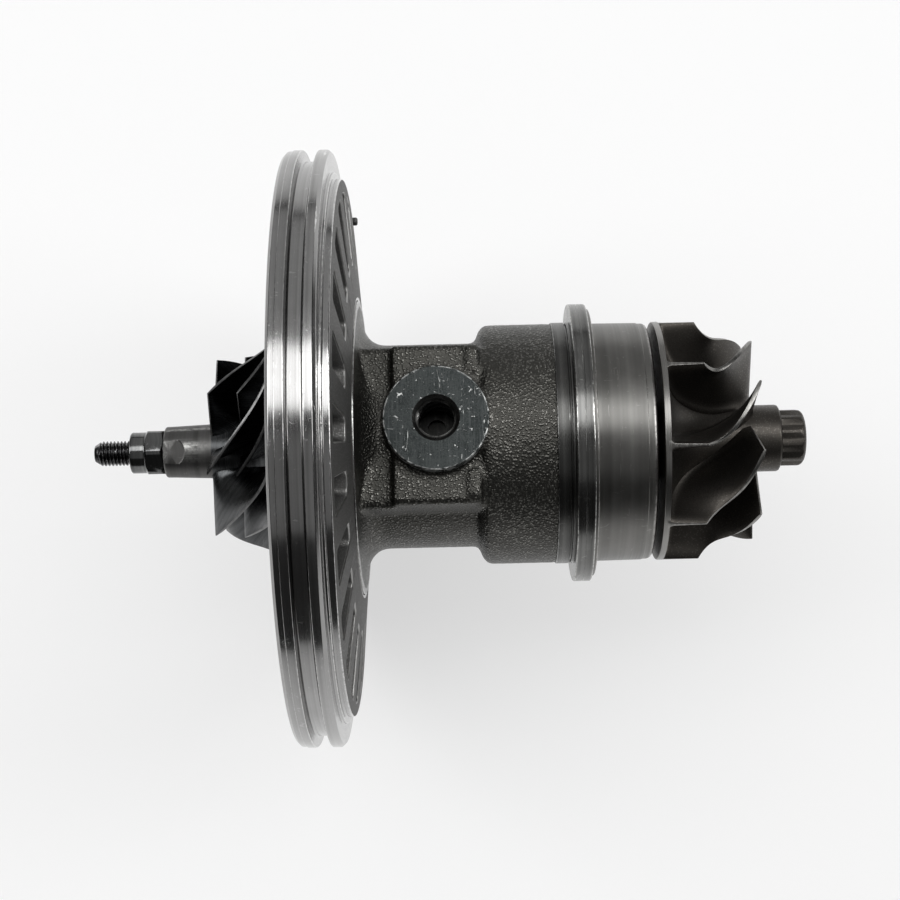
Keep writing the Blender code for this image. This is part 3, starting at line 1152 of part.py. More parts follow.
def build():
    """Make every piece of the cartridge."""
    clear_scene()
    cast_iron = material("cast_iron", (0.16, 0.155, 0.15), 0.62, 0.85)
    plate_metal = material("machined_plate", (0.50, 0.50, 0.49), 0.28, 1.0)
    sheet_steel = material("sheet_steel", (0.47, 0.45, 0.43), 0.30, 1.0)
    nickel_alloy = material("nickel_alloy", (0.24, 0.235, 0.225), 0.42, 1.0)
    wheel_alloy = material("wheel_alloy", (0.30, 0.30, 0.30), 0.32, 1.0)
    shaft_steel = material("shaft_steel", (0.33, 0.33, 0.33), 0.25, 1.0)
    dark_steel = material("dark_steel", (0.20, 0.20, 0.21), 0.22, 1.0)
    spring_steel = material("spring_steel", (0.18, 0.18, 0.19), 0.35, 1.0)
    bronze = material("bronze", (0.55, 0.38, 0.20), 0.35, 1.0)
    rubber = material("seal_rubber", (0.02, 0.02, 0.02), 0.70, 0.0)

    bearing_housing(cast_iron)
    backplate(plate_metal)
    index_pin(plate_metal)
    backplate_dowel(shaft_steel)
    backplate_o_ring(rubber)
    for number, angle in enumerate(plate_screw_angles(), start=1):
        plate_screw(number, angle, dark_steel)
    seal_plate(shaft_steel)
    seal_plate_o_ring(rubber)
    snap_ring(spring_steel)
    thrust_bearing(bronze)
    oil_deflector(sheet_steel)
    for number, angle in enumerate(spaced(THRUST_SCREW_COUNT, pi / THRUST_SCREW_COUNT), start=1):
        thrust_screw(number, angle, dark_steel)
    heat_shield(sheet_steel)

    shaft(shaft_steel)
    turbine_wheel(nickel_alloy)
    compressor_wheel(wheel_alloy)
    shaft_nut(dark_steel)
    seal_sleeve(shaft_steel)
    thrust_collar(shaft_steel)
    thrust_runner(shaft_steel)

    piston_ring("piston_ring_compressor", front_ring_middle(), seal_bore_front, cast_iron)
    piston_ring("piston_ring_turbine", rear_ring_middle(), seal_bore_rear, cast_iron)
    journal_bearing("journal_bearing_compressor", bearing_front_x, bronze)
    journal_bearing("journal_bearing_turbine", BEARING_REAR_X, bronze)
    bearing_clip("bearing_clip_1", clip_place(bearing_front_x, -1), spring_steel)
    bearing_clip("bearing_clip_2", clip_place(bearing_front_x, 1), spring_steel)
    bearing_clip("bearing_clip_3", clip_place(BEARING_REAR_X, -1), spring_steel)
    bearing_clip("bearing_clip_4", clip_place(BEARING_REAR_X, 1), spring_steel)


build()
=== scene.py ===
"""The pictured turbo cartridge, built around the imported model.

Sizes are written in millimetres and turned to metres where a mesh is made. The shaft runs along X,
and an angle around it is measured from +Z towards +Y.
"""

from math import atan2, cos, hypot, pi, radians, sin, tan

import bpy
from mathutils import Matrix, Vector


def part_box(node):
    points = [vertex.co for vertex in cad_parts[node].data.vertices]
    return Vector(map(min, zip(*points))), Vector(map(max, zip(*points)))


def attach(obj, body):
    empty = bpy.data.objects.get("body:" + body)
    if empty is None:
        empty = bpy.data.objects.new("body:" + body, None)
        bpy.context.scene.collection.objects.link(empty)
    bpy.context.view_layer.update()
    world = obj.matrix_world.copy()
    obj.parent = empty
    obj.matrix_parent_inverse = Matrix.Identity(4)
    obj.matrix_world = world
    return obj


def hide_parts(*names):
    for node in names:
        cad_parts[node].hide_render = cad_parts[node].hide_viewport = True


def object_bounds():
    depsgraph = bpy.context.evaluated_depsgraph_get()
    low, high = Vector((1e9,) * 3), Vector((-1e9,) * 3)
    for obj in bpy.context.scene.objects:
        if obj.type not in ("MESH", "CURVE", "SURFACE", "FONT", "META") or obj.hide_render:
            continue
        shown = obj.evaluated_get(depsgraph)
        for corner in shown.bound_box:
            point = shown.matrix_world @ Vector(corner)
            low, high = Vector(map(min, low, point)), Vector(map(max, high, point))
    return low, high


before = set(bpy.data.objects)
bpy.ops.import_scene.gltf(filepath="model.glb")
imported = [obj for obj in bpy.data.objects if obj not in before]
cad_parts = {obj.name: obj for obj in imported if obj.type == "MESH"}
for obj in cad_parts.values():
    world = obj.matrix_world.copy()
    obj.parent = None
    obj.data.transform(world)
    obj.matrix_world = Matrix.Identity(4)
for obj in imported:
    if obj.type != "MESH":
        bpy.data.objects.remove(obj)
cad_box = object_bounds()

MM = 0.001
ROUND = 144                 # steps around a turned piece that names no count of its own


# Modelling helpers

def pick(piece):
    """Select one piece alone."""
    bpy.ops.object.select_all(action="DESELECT")
    piece.select_set(True)
    bpy.context.view_layer.objects.active = piece


def named(name):
    """Name the primitive that was just added, and put its place into its mesh."""
    piece = bpy.context.object
    piece.name = name
    piece.data.name = name
    bpy.ops.object.transform_apply(location=True, rotation=True, scale=True)
    return piece


def tidied(piece):
    """Merge doubled points and turn all faces outwards."""
    pick(piece)
    bpy.ops.object.mode_set(mode="EDIT")
    bpy.ops.mesh.select_mode(type="VERT")
    bpy.ops.mesh.select_all(action="SELECT")
    bpy.ops.mesh.remove_doubles(threshold=1e-6)
    bpy.ops.mesh.normals_make_consistent(inside=False)
    bpy.ops.object.mode_set(mode="OBJECT")
    return piece


def span(piece, edge, axis):
    """How far an edge of a piece reaches along one axis, in metres."""
    first, second = (piece.data.vertices[index].co for index in edge.vertices)
    return abs(first[axis] - second[axis])


def chosen(piece, kind, wanted):
    """Select the edges or faces of a piece that pass a test, and stay in edit mode."""
    pick(piece)
    bpy.ops.object.mode_set(mode="EDIT")
    bpy.ops.mesh.select_mode(type=kind)
    bpy.ops.mesh.select_all(action="DESELECT")
    bpy.ops.object.mode_set(mode="OBJECT")
    for item in piece.data.edges if kind == "EDGE" else piece.data.polygons:
        item.select = wanted(item)
    bpy.ops.object.mode_set(mode="EDIT")


def smooth(piece, sharp=32.0):
    """Shade a piece smooth, with its sharp edges kept."""
    pick(piece)
    bpy.ops.object.shade_smooth_by_angle(angle=radians(sharp))
    return piece


def apply(piece, kind, **settings):
    """Add a modifier to a piece and apply it."""
    step = piece.modifiers.new(kind.lower(), kind)
    for key, value in settings.items():
        setattr(step, key, value)
    pick(piece)
    bpy.ops.object.modifier_apply(modifier=step.name)
    return piece


def combined(piece, tools, operation="DIFFERENCE"):
    """Cut tools out of a piece, or join them to it, one after another."""
    for tool in tools:
        apply(piece, "BOOLEAN", operation=operation, solver="EXACT", object=tool,
              material_mode="TRANSFER")
        bpy.data.objects.remove(tool, do_unlink=True)
    return piece


def joined(name, parts):
    """Put several meshes into one piece."""
    bpy.ops.object.select_all(action="DESELECT")
    for part in parts:
        part.select_set(True)
    bpy.context.view_layer.objects.active = parts[0]
    if len(parts) > 1:
        bpy.ops.object.join()
    parts[0].name = name
    parts[0].data.name = name
    return parts[0]


def copied(piece, place):
    """A copy of a piece with its own mesh, moved by a matrix."""
    twin = piece.copy()
    twin.data = piece.data.copy()
    twin.data.transform(place)
    bpy.context.scene.collection.objects.link(twin)
    return twin


def around(name, piece, angles):
    """Copies of a piece at angles around the shaft, as one mesh."""
    twins = [copied(piece, Matrix.Rotation(-angle, 4, "X")) for angle in angles]
    bpy.data.objects.remove(piece, do_unlink=True)
    return joined(name, twins)


def spaced(count, first=0.0):
    """Equal angles around the shaft."""
    return [first + 2.0 * pi * step / count for step in range(count)]


def polar(x, radius, angle):
    """A point at a radius and an angle around the shaft."""
    return Vector((x, radius * sin(angle), radius * cos(angle)))


def softened(corners, steps=3):
    """An outline of (along, radius) points from corners of (along, radius, rounding).

    Each rounding gets support points at small gaps beside it, which keep its band of wear and painted
    highlight narrow.
    """
    near, far = 0.22, 0.5
    most = 0.48                 # share of a side that a rounding may take up
    outline = []
    for index, (along, radius, rounding) in enumerate(corners):
        here = Vector((along, radius))
        if rounding <= 0.0:
            outline.append(here)
            continue
        before = Vector(corners[index - 1][:2]) - here
        after = Vector(corners[(index + 1) % len(corners)][:2]) - here
        half = before.angle(after) / 2.0
        reach = min(rounding / tan(half), most * before.length, most * after.length)
        size = reach * tan(half)
        centre = here + (before.normalized() + after.normalized()).normalized() * (size / sin(half))
        start = here + before.normalized() * reach - centre
        end = here + after.normalized() * reach - centre
        for gap in (far, near):
            if reach + gap < most * before.length:
                outline.append(here + before.normalized() * (reach + gap))
        for step in range(steps + 1):
            outline.append(centre + start.slerp(end, step / steps).normalized() * size)
        for gap in (near, far):
            if reach + gap < most * after.length:
                outline.append(here + after.normalized() * (reach + gap))
    return [(point[0], point[1]) for point in outline]


def turned(name, outline, steps=ROUND, closed=True):
    """Draw an outline of (along, radius) points in edit mode and spin it about the shaft."""
    line = list(outline) + [outline[0]] if closed else list(outline)
    bpy.ops.object.select_all(action="DESELECT")
    bpy.ops.mesh.primitive_plane_add(size=MM)
    piece = named(name)
    bpy.ops.object.mode_set(mode="EDIT")
    bpy.ops.mesh.select_mode(type="VERT")
    bpy.ops.mesh.select_all(action="SELECT")
    bpy.ops.mesh.merge(type="CENTER")
    bpy.ops.transform.translate(value=(line[0][0] * MM, 0.0, line[0][1] * MM))
    for here, there in zip(line, line[1:]):
        step = ((there[0] - here[0]) * MM, 0.0, (there[1] - here[1]) * MM)
        bpy.ops.mesh.extrude_vertices_move(TRANSFORM_OT_translate={"value": step})
    bpy.ops.mesh.select_all(action="SELECT")
    bpy.ops.mesh.spin(steps=steps, angle=2.0 * pi, use_auto_merge=True, center=(0.0, 0.0, 0.0),
                      axis=(1.0, 0.0, 0.0))
    bpy.ops.object.mode_set(mode="OBJECT")
    return tidied(piece)


def bar(name, start, end, radius, steps):
    """A plain round bar between two stations along the shaft."""
    return turned(name, [(start, 0.0), (start, radius), (end, radius), (end, 0.0)], steps, False)


def upright(piece, x, y=0.0):
    """Turn a piece made along the shaft so that it stands along Z at a place."""
    piece.data.transform(Matrix.Translation((x * MM, y * MM, 0.0)) @ Matrix.Rotation(-pi / 2.0, 4, "Y"))
    return piece


def along(piece, radius, angle):
    """Move a piece made on the shaft axis out to a radius and an angle around it."""
    piece.data.transform(Matrix.Translation(polar(0.0, radius * MM, angle)))
    return piece


def threaded_line(start, end, step, radius):
    """A straight line in fine steps from the axis, for a thread to be cut along it."""
    count = round((end - start) / step)
    line = [(start, 0.0)]
    line += [(start + (end - start) * index / count, radius) for index in range(count + 1)]
    return line


def threaded(piece, start, end, pitch, depth):
    """Move the points of a fine turned piece inwards along a helix: flat crests, sloped flanks."""
    for vertex in piece.data.vertices:
        x, y, z = vertex.co
        radius = hypot(y, z)
        if radius < 1e-6 or not start * MM <= x <= end * MM:
            continue
        phase = (x / (pitch * MM) + atan2(y, z) / (2.0 * pi)) % 1.0
        tooth = min(max(1.6 * abs(2.0 * phase - 1.0) - 0.25, 0.0), 1.0)
        scale = (radius - depth * MM * tooth) / radius
        vertex.co.y = y * scale
        vertex.co.z = z * scale
    return piece


def dressed(piece, *surfaces):
    """Give a piece its materials, in order. Its faces keep their slots."""
    slots = [face.material_index for face in piece.data.polygons]
    piece.data.materials.clear()
    for surface in surfaces:
        piece.data.materials.append(surface)
    piece.data.polygons.foreach_set("material_index", slots)
    return piece


def beside(piece, body, node):
    """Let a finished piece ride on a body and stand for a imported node."""
    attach(piece, body)
    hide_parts(node)
    return piece


# Stations along the shaft in millimetres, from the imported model

def node_box(node):
    """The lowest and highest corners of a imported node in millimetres."""
    low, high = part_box(node)
    return low / MM, high / MM


housing_front = node_box("bearing_housing")[0].x
plate_front = node_box("compressor_backplate")[0].x
wheel_front, wheel_back = (corner.x for corner in node_box("compressor_wheel"))
nut_front, nut_back = (corner.x for corner in node_box("shaft_nut"))
shaft_tip, shaft_end = (corner.x for corner in node_box("shaft"))
plate_seat = housing_front - 0.3    # the housing's seat in the backplate
plate_back = plate_front + 14.8     # outer edge of the backplate's cone
wheel_floor = plate_front + 1.8     # floor of the compressor wheel's pocket
FLANGE_BACK = -62.4                 # back of the housing's front flange
DRAIN_FACE = -35.0                  # height of the drain face under the shaft
INLET_X = -41.3
DRAIN_X = -43.0
SCREWS_OUT = 33.0                   # radius of the backplate's screws and dowel
THRUST_OUT = 15.0                   # radius of the thrust bearing's screws
PIN_OUT = 72.6                      # radius of the index pin
PIN_TURN = radians(100.0)
PHOTO_TILT = radians(12.7)          # how far the photograph's view leans from +Z


# Backplate

def rim_outline():
    """The backplate's section: grooved rim, stepped back, housing seat and wheel pocket."""
    x = plate_front
    back = x + 12.1
    rim_side = back + 2.7
    return softened([
        (x, 81.5, 0.25), (x + 0.8, 82.3, 0.3), (x + 2.2, 82.3, 0.08), (x + 2.2, 82.55, 0.12),
        (x + 4.5, 82.55, 0.25), (x + 4.9, 79.4, 0.5), (x + 8.6, 79.4, 0.5), (x + 9.0, 82.55, 0.25),
        (x + 11.2, 82.55, 0.3), (back, 81.7, 0.2), (back, 76.3, 0.35), (back + 0.8, 76.3, 0.25),
        (back + 0.8, 74.5, 0.35), (rim_side, 74.5, 0.5), (x + 17.8, 42.0, 0.5),
        (x + 17.8, 41.2, 0.3), (plate_seat, 41.2, 0.25), (plate_seat, 21.0, 0.2),
        (plate_seat - 2.0, 21.0, 0.1), (plate_seat - 2.0, 24.3, 0.1), (x + 3.45, 24.3, 0.0),
        (x + 3.45, 25.7, 0.0), (x + 2.25, 25.7, 0.0), (x + 2.25, 24.3, 0.1),
        (wheel_floor, 24.3, 0.2), (wheel_floor, 38.0, 0.4), (x, 38.0, 0.2),
    ])


def pocket_tool():
    """One cast pocket of the backplate's back: wider at the rim, rounded corners, drafted walls.

    The walls end a little below the cone of the back and widen from there in steps, as a chamfer.
    """
    floor = plate_front + 11.2
    chamfer = 0.4
    bpy.ops.object.select_all(action="DESELECT")
    bpy.ops.mesh.primitive_cube_add(size=1.0)
    tool = named("pocket_tool")
    for vertex in tool.data.vertices:
        high = vertex.co.x > 0.0
        draft = 0.10 if high else -0.35
        if vertex.co.z > 0.0:
            half, reach = 4.8 + draft, 70.5 + draft
        else:
            half, reach = 2.9 + draft, 51.5 - draft
        top = plate_back + 3.0 * (74.5 - reach) / 32.5 - chamfer
        vertex.co = Vector((top if high else floor, half if vertex.co.y > 0.0 else -half, reach)) * MM
    tidied(tool)
    chosen(tool, "EDGE", lambda edge: span(tool, edge, 0) > 2.0 * MM)
    bpy.ops.mesh.bevel(offset=1.7 * MM, segments=4, affect="EDGES")
    bpy.ops.object.mode_set(mode="OBJECT")
    chosen(tool, "FACE", lambda face: face.normal.x < -0.9)
    bpy.ops.mesh.bevel(offset=0.5 * MM, segments=3, affect="EDGES")
    bpy.ops.object.mode_set(mode="OBJECT")
    chosen(tool, "FACE", lambda face: face.normal.x > 0.9)
    middle = (0.0, 0.0, 61.0 * MM)
    for rise, across, reach in ((0.15, 1.02, 1.01), (0.3, 1.08, 1.04), (0.2, 1.04, 1.02)):
        bpy.ops.mesh.extrude_region_move(TRANSFORM_OT_translate={"value": (rise * MM, 0.0, 0.0)})
        bpy.ops.transform.resize(value=(1.0, across, reach), center_override=middle)
    bpy.ops.mesh.extrude_region_move(TRANSFORM_OT_translate={"value": (3.0 * MM, 0.0, 0.0)})
    bpy.ops.object.mode_set(mode="OBJECT")
    dressed(tidied(tool), plate_casting, pocket_edge_highlight)
    # the chamfer faces get a lighter metal: a painted highlight along the pocket rims
    for face in tool.data.polygons:
        if face.center.x > (floor + 1.6) * MM and 0.2 < abs(face.normal.x) < 0.95:
            face.material_index = 1
    return tool


def backplate():
    """The big disc: turned rim and front, cast back with radial pockets."""
    plate = dressed(turned("backplate", rim_outline(), 188), rim_metal, plate_casting)
    for face in plate.data.polygons:
        radius = hypot(face.center.y, face.center.z)
        cast = face.center.x > (plate_back - 0.05) * MM and 41.9 * MM < radius < 74.2 * MM
        face.material_index = 1 if cast else 0
    combined(plate, [around("pockets", pocket_tool(), spaced(24, pi / 24.0))])
    floor, seat = wheel_floor, plate_seat
    tools = []
    for angle in spaced(6, pi / 6.0):
        sink = turned("sink", [(floor - 1.0, 0.0), (floor - 1.0, 4.9), (floor, 4.8), (floor + 0.3, 4.5),
                               (floor + 5.3, 4.5), (floor + 5.3, 2.8), (seat + 1.0, 2.8),
                               (seat + 1.0, 0.0)], 36, False)
        tools.append(along(sink, SCREWS_OUT, angle))
    tools.append(along(bar("dowel_hole", seat - 3.5, seat + 1.0, 2.3, 28), SCREWS_OUT, 0.0))
    tools.append(along(bar("pin_hole", plate_back - 4.7, plate_back + 1.0, 1.35, 28), PIN_OUT, PIN_TURN))
    combined(plate, [joined("plate_tools", tools)])
    return beside(smooth(tidied(plate)), "housing", "compressor_backplate")


def index_pin():
    """The small round-ended pin that stands out of the backplate's back."""
    foot, top = plate_back - 4.4, plate_back + 1.6
    pin = turned("locating_pin", softened([(foot, 0.0, 0.0), (foot, 1.2, 0.3), (top, 1.2, 0.6),
                                           (top, 0.0, 0.0)], 4), 36, False)
    dressed(along(pin, PIN_OUT, PIN_TURN), plate_casting)
    return beside(smooth(pin), "housing", "backplate_index_pin")


# Bearing housing

def block(name, low, high, rounding, sides="x"):
    """A box between two corners with its long edges along one direction rounded."""
    low, high = Vector(low), Vector(high)
    size = (high - low) * MM
    bpy.ops.object.select_all(action="DESELECT")
    bpy.ops.mesh.primitive_cube_add(size=1.0)
    piece = named(name)
    piece.data.transform(Matrix.Translation((low + high) * MM / 2.0) @ Matrix.Diagonal((*size, 1.0)))
    if rounding > 0.0:
        axis = "xyz".index(sides)
        chosen(piece, "EDGE", lambda edge: span(piece, edge, axis) > 1e-5)
        bpy.ops.mesh.bevel(offset=rounding * MM, segments=5, affect="EDGES")
        bpy.ops.object.mode_set(mode="OBJECT")
    return tidied(piece)


def cast_outline():
    """The cast part of the housing between its machined flanges."""
    steps = 12                  # along the hollow curve from the flange to the neck
    line = [(housing_front + 0.6, 10.0), (housing_front + 0.6, 40.4), (FLANGE_BACK, 40.4)]
    for step in range(1, steps + 1):
        turn = pi / 2.0 * step / steps
        line.append((FLANGE_BACK + 6.9 * (1.0 - cos(turn)) ** 1.25, 40.9 - 12.5 * sin(turn) ** 0.9))
    line += [(-31.0, 28.4), (-30.3, 29.6), (-29.6, 31.6), (-28.4, 33.0), (-27.2, 33.3), (-9.0, 33.3),
             (-9.0, 10.0)]
    return line


def cavity_outline():
    """The bored and cored inside of the housing, closed over the shaft line."""
    front = housing_front
    bore, groove, core = 8.3, 9.4, 15.0     # radii of bearing seats, clip grooves and oil chamber
    return [(front - 1.0, 0.0), (front - 1.0, 20.7), (front, 20.5), (front + 0.2, 20.3),
            (front + 3.4, 20.3), (front + 3.4, 11.5), (-60.7, 11.5), (-60.5, bore),
            (-60.0, bore), (-60.0, groove), (-58.8, groove), (-58.8, bore),
            (-50.2, bore), (-50.2, groove), (-49.0, groove), (-49.0, bore),
            (-47.9, bore), (-47.9, 14.2), (-47.1, core), (-16.9, core), (-16.1, 14.2), (-16.1, bore),
            (-15.0, bore), (-15.0, groove), (-13.8, groove), (-13.8, bore),
            (-5.2, bore), (-5.2, groove), (-4.0, groove), (-4.0, bore),
            (-2.9, bore), (-2.9, 13.4), (-2.3, 14.0), (2.5, 14.0), (3.1, 13.4), (3.1, 9.5),
            (15.0, 9.5), (15.0, 0.0)]


def cast_body():
    """The housing's cast form: drum and neck, inlet block with shoulder and lips, drain block."""
    parts = [turned("cast_body", cast_outline(), 96)]
    parts.append(block("inlet_block", (-52.95, -22.2, 5.0), (-29.65, 21.2, 29.9), 1.4))
    parts.append(block("block_shoulder", (-61.4, -22.6, 5.0), (-52.0, 21.6, 27.3), 2.0))
    for low, high in ((-20.9, -12.5), (12.5, 20.9)):
        parts.append(block("block_lip", (-33.0, low, 20.0), (-30.0, high, 30.7), 1.5))
    parts.append(block("drain_block", (-55.5, -21.0, -34.6), (-30.5, 21.0, -15.0), 3.0, "z"))
    parts.append(upright(bar("pad_boss", 10.0, 33.6, 13.9, 96), INLET_X))
    parts.append(upright(bar("drain_boss", -34.6, -20.0, 13.0, 64), DRAIN_X))
    body = joined("housing_body", parts)
    apply(body, "REMESH", mode="VOXEL", voxel_size=0.65 * MM)
    apply(body, "SMOOTH", factor=0.5, iterations=9)
    relief = bpy.data.textures.new("casting_relief", "CLOUDS")
    relief.noise_scale = 1.5 * MM
    relief.noise_depth = 2
    apply(body, "DISPLACE", texture=relief, texture_coords="LOCAL", strength=0.11 * MM, mid_level=0.5)
    return body


def machined_parts(metals):
    """The housing's machined parts: front flange, band with clamp flange, inlet pad, drain face."""
    front = housing_front
    front_flange = turned("front_flange", softened([
        (front, 20.0, 0.0), (front, 37.2, 0.1), (front + 1.5, 37.2, 0.1), (front + 1.5, 39.4, 0.1),
        (front, 39.4, 0.1), (front, 40.9, 0.3), (FLANGE_BACK, 40.9, 0.35), (FLANGE_BACK, 20.0, 0.0)]))
    rear_flange = turned("rear_flange", softened([
        (-9.6, 15.5, 0.0), (-9.6, 33.6, 0.25), (-6.1, 33.6, 0.12), (-6.1, 32.6, 0.1), (-5.5, 32.6, 0.1),
        (-5.5, 33.6, 0.12), (-4.9, 33.6, 0.25), (-4.9, 38.6, 0.4), (-2.55, 38.6, 0.05),
        (-2.45, 38.5, 0.05), (-2.25, 38.5, 0.05), (-2.15, 38.6, 0.05), (0.0, 38.6, 0.4),
        (0.0, 37.5, 0.08), (-0.6, 37.5, 0.08), (-0.6, 27.0, 0.8), (9.5, 24.0, 1.0), (14.0, 15.0, 0.6),
        (14.0, 8.8, 0.0), (-9.6, 8.8, 0.0)]))
    inlet_pad = upright(turned("inlet_pad", softened([
        (20.0, 0.0, 0.0), (20.0, 13.6, 0.0), (31.0, 14.0, 0.2), (34.2, 14.0, 0.28),
        (34.2, 0.0, 0.0)]), 128, False), INLET_X)
    drain_pad = block("drain_pad", (-55.5, -21.0, DRAIN_FACE), (-30.5, 21.0, -33.6), 3.0, "z")
    for part, slot in ((front_flange, 1), (rear_flange, 1), (inlet_pad, 2), (drain_pad, 2)):
        dressed(part, *metals)
        for face in part.data.polygons:
            band = slot == 1 and -9.7 * MM < face.center.x < -4.95 * MM
            face.material_index = 4 if band else slot
    return [front_flange, rear_flange, inlet_pad, drain_pad]


def inlet_bore():
    """What is cut for the oil inlet: countersink, thread, and a feed hole painted near-black inside as
    shade.
    """
    outline = [(18.5, 0.0), (18.5, 2.5), (20.7, 2.5)]
    outline += threaded_line(20.7, 33.2, 0.2, 5.35)[1:-1]
    outline += [(33.2, 5.35), (34.0, 6.1), (34.3, 6.4), (35.0, 7.1), (35.0, 0.0)]
    bore = threaded(turned("inlet_bore", outline, 64, False), 21.5, 33.0, 1.25, 0.6)
    dressed(upright(bore, INLET_X), bore_metal, deep_bore_shade_metal)
    # faces below the countersink are painted near-black: painted shade inside the deep hole
    for face in bore.data.polygons:
        face.material_index = 1 if face.center.z < 31.5 * MM else 0
    return bore


def housing_holes():
    """All else that is cut from the housing: its inside, the drain and the tapped holes."""
    front = housing_front
    face = DRAIN_FACE
    drain = turned("drain_bore", [(face - 1.0, 0.0), (face - 1.0, 9.6), (face, 8.6), (-34.4, 8.0),
                                  (-8.3, 8.0), (-8.3, 0.0)], 64, False)
    tools = [upright(drain, DRAIN_X)]
    for side in (-16.0, 16.0):
        outline = [(face - 1.0, 0.0), (face - 1.0, 3.9), (face, 2.9), (-34.6, 2.6)]
        outline += threaded_line(-34.6, -24.6, 0.16, 2.6)[1:-1] + [(-24.6, 2.6), (-23.2, 0.0)]
        tap = threaded(turned("drain_tap", outline, 40, False), -34.5, -24.8, 1.0, 0.45)
        tools.append(upright(tap, DRAIN_X, side))
    for angle in spaced(6, pi / 6.0):
        tap = turned("screw_tap", [(front - 1.0, 0.0), (front - 1.0, 2.8), (front + 5.7, 2.8),
                                   (front + 7.0, 0.0)], 24, False)
        tools.append(along(tap, SCREWS_OUT, angle))
    tools.append(along(bar("dowel_hole", front - 1.0, front + 3.5, 2.3, 24), SCREWS_OUT, 0.0))
    for angle in spaced(3, pi / 3.0):
        tools.append(along(bar("thrust_tap", front + 3.0, front + 9.2, 2.3, 24), THRUST_OUT, angle))
    return [dressed(tool, bore_metal) for tool in tools]


def housing():
    """The cast body with its flanges, oil inlet pad, drain face, bores and threads."""
    metals = (cast_iron, flange_metal, pad_metal, bore_metal, band_metal)
    body = dressed(cast_body(), *metals)
    combined(body, machined_parts(metals), "UNION")
    cavity = dressed(turned("cavity", cavity_outline(), 96, False), bore_metal)
    combined(body, [cavity, inlet_bore()] + housing_holes())
    return beside(smooth(tidied(body), 40.0), "housing", "bearing_housing")


# Heat shield

def heat_shield():
    """The pressed cup with its rolled foot and rounded end."""
    shield = turned("heat_shield_cup", softened([
        (-0.3, 31.8, 0.6), (-0.3, 37.2, 0.35), (0.9, 37.2, 0.35), (0.9, 33.15, 0.5), (14.2, 33.0, 0.3),
        (14.35, 32.85, 0.3), (16.8, 32.75, 2.3), (16.8, 12.5, 0.25), (15.6, 12.5, 0.25),
        (15.6, 31.7, 1.2)], 6), 156)
    return beside(smooth(dressed(shield, shield_steel)), "housing", "heat_shield")


# Wheels

def between(start, end, share):
    """A point between two (along, radius) points."""
    return (start[0] + (end[0] - start[0]) * share, start[1] + (end[1] - start[1]) * share)


def compressor_hub(share):
    """The hub line of the compressor wheel, from the nose to the disc's edge."""
    turn = share * pi / 2.0
    start = (wheel_front + 13.5, 7.6)
    end = (wheel_back - 0.9, 36.5)
    return (start[0] + (end[0] - start[0]) * sin(turn),
            start[1] + (end[1] - start[1]) * (1.0 - cos(turn)) ** 1.12)


def compressor_edge(share):
    """The outer edge line of the compressor blades."""
    turn = share * pi / 2.0
    start = (wheel_front + 14.8, 25.5)
    end = (wheel_back - 5.1, 36.5)
    return (start[0] + (end[0] - start[0]) * sin(turn) ** 0.80,
            start[1] + (end[1] - start[1]) * (1.0 - cos(turn)) ** 1.10)


def turbine_hub(share):
    """The hub line of the turbine wheel, from the disc's edge to the exducer."""
    turn = share * pi / 2.0
    return (20.1 + 25.2 * (1.0 - cos(turn)) ** 1.15, 33.2 - 23.9 * sin(turn) ** 1.05)


def turbine_edge(share):
    """The outer edge line of the turbine blades."""
    x = 29.9 + 15.4 * share
    return (x, 28.0 + 5.2 * max(1.0 - (x - 29.9) / 8.0, 0.0) ** 2.6)


def edge_run(share, steps=48):
    """The part of the compressor's outer edge line that lies before a share of the blade."""
    points = [compressor_edge(step / steps) for step in range(steps + 1)]
    lengths = [hypot(b[0] - a[0], b[1] - a[1]) for a, b in zip(points, points[1:])]
    whole = int(share * steps)
    part = sum(lengths[:whole])
    if whole < len(lengths):
        part += lengths[whole] * (share * steps - whole)
    return part / sum(lengths)


def share_at(x):
    """The share of the compressor's outer edge line that lies before a station along the shaft."""
    low, high = 0.0, 1.0
    for _ in range(24):
        middle = (low + high) / 2.0
        if compressor_edge(middle)[0] < x:
            low = middle
        else:
            high = middle
    return low


def compressor_turn(share, height, x):
    """How far a compressor blade has turned around the shaft."""
    run = edge_run(share)
    return radians(67.0) * (1.15 * run - 0.15 * run * run)


def turbine_turn(share, height, x):
    """How far a turbine blade has turned: radial at the inlet and curved back at the exit."""
    run = max(x - 29.9, 0.0) / 15.4
    return radians(35.9) * run ** 2.05 + radians(22.0) * share ** 3 * (1.0 - height)


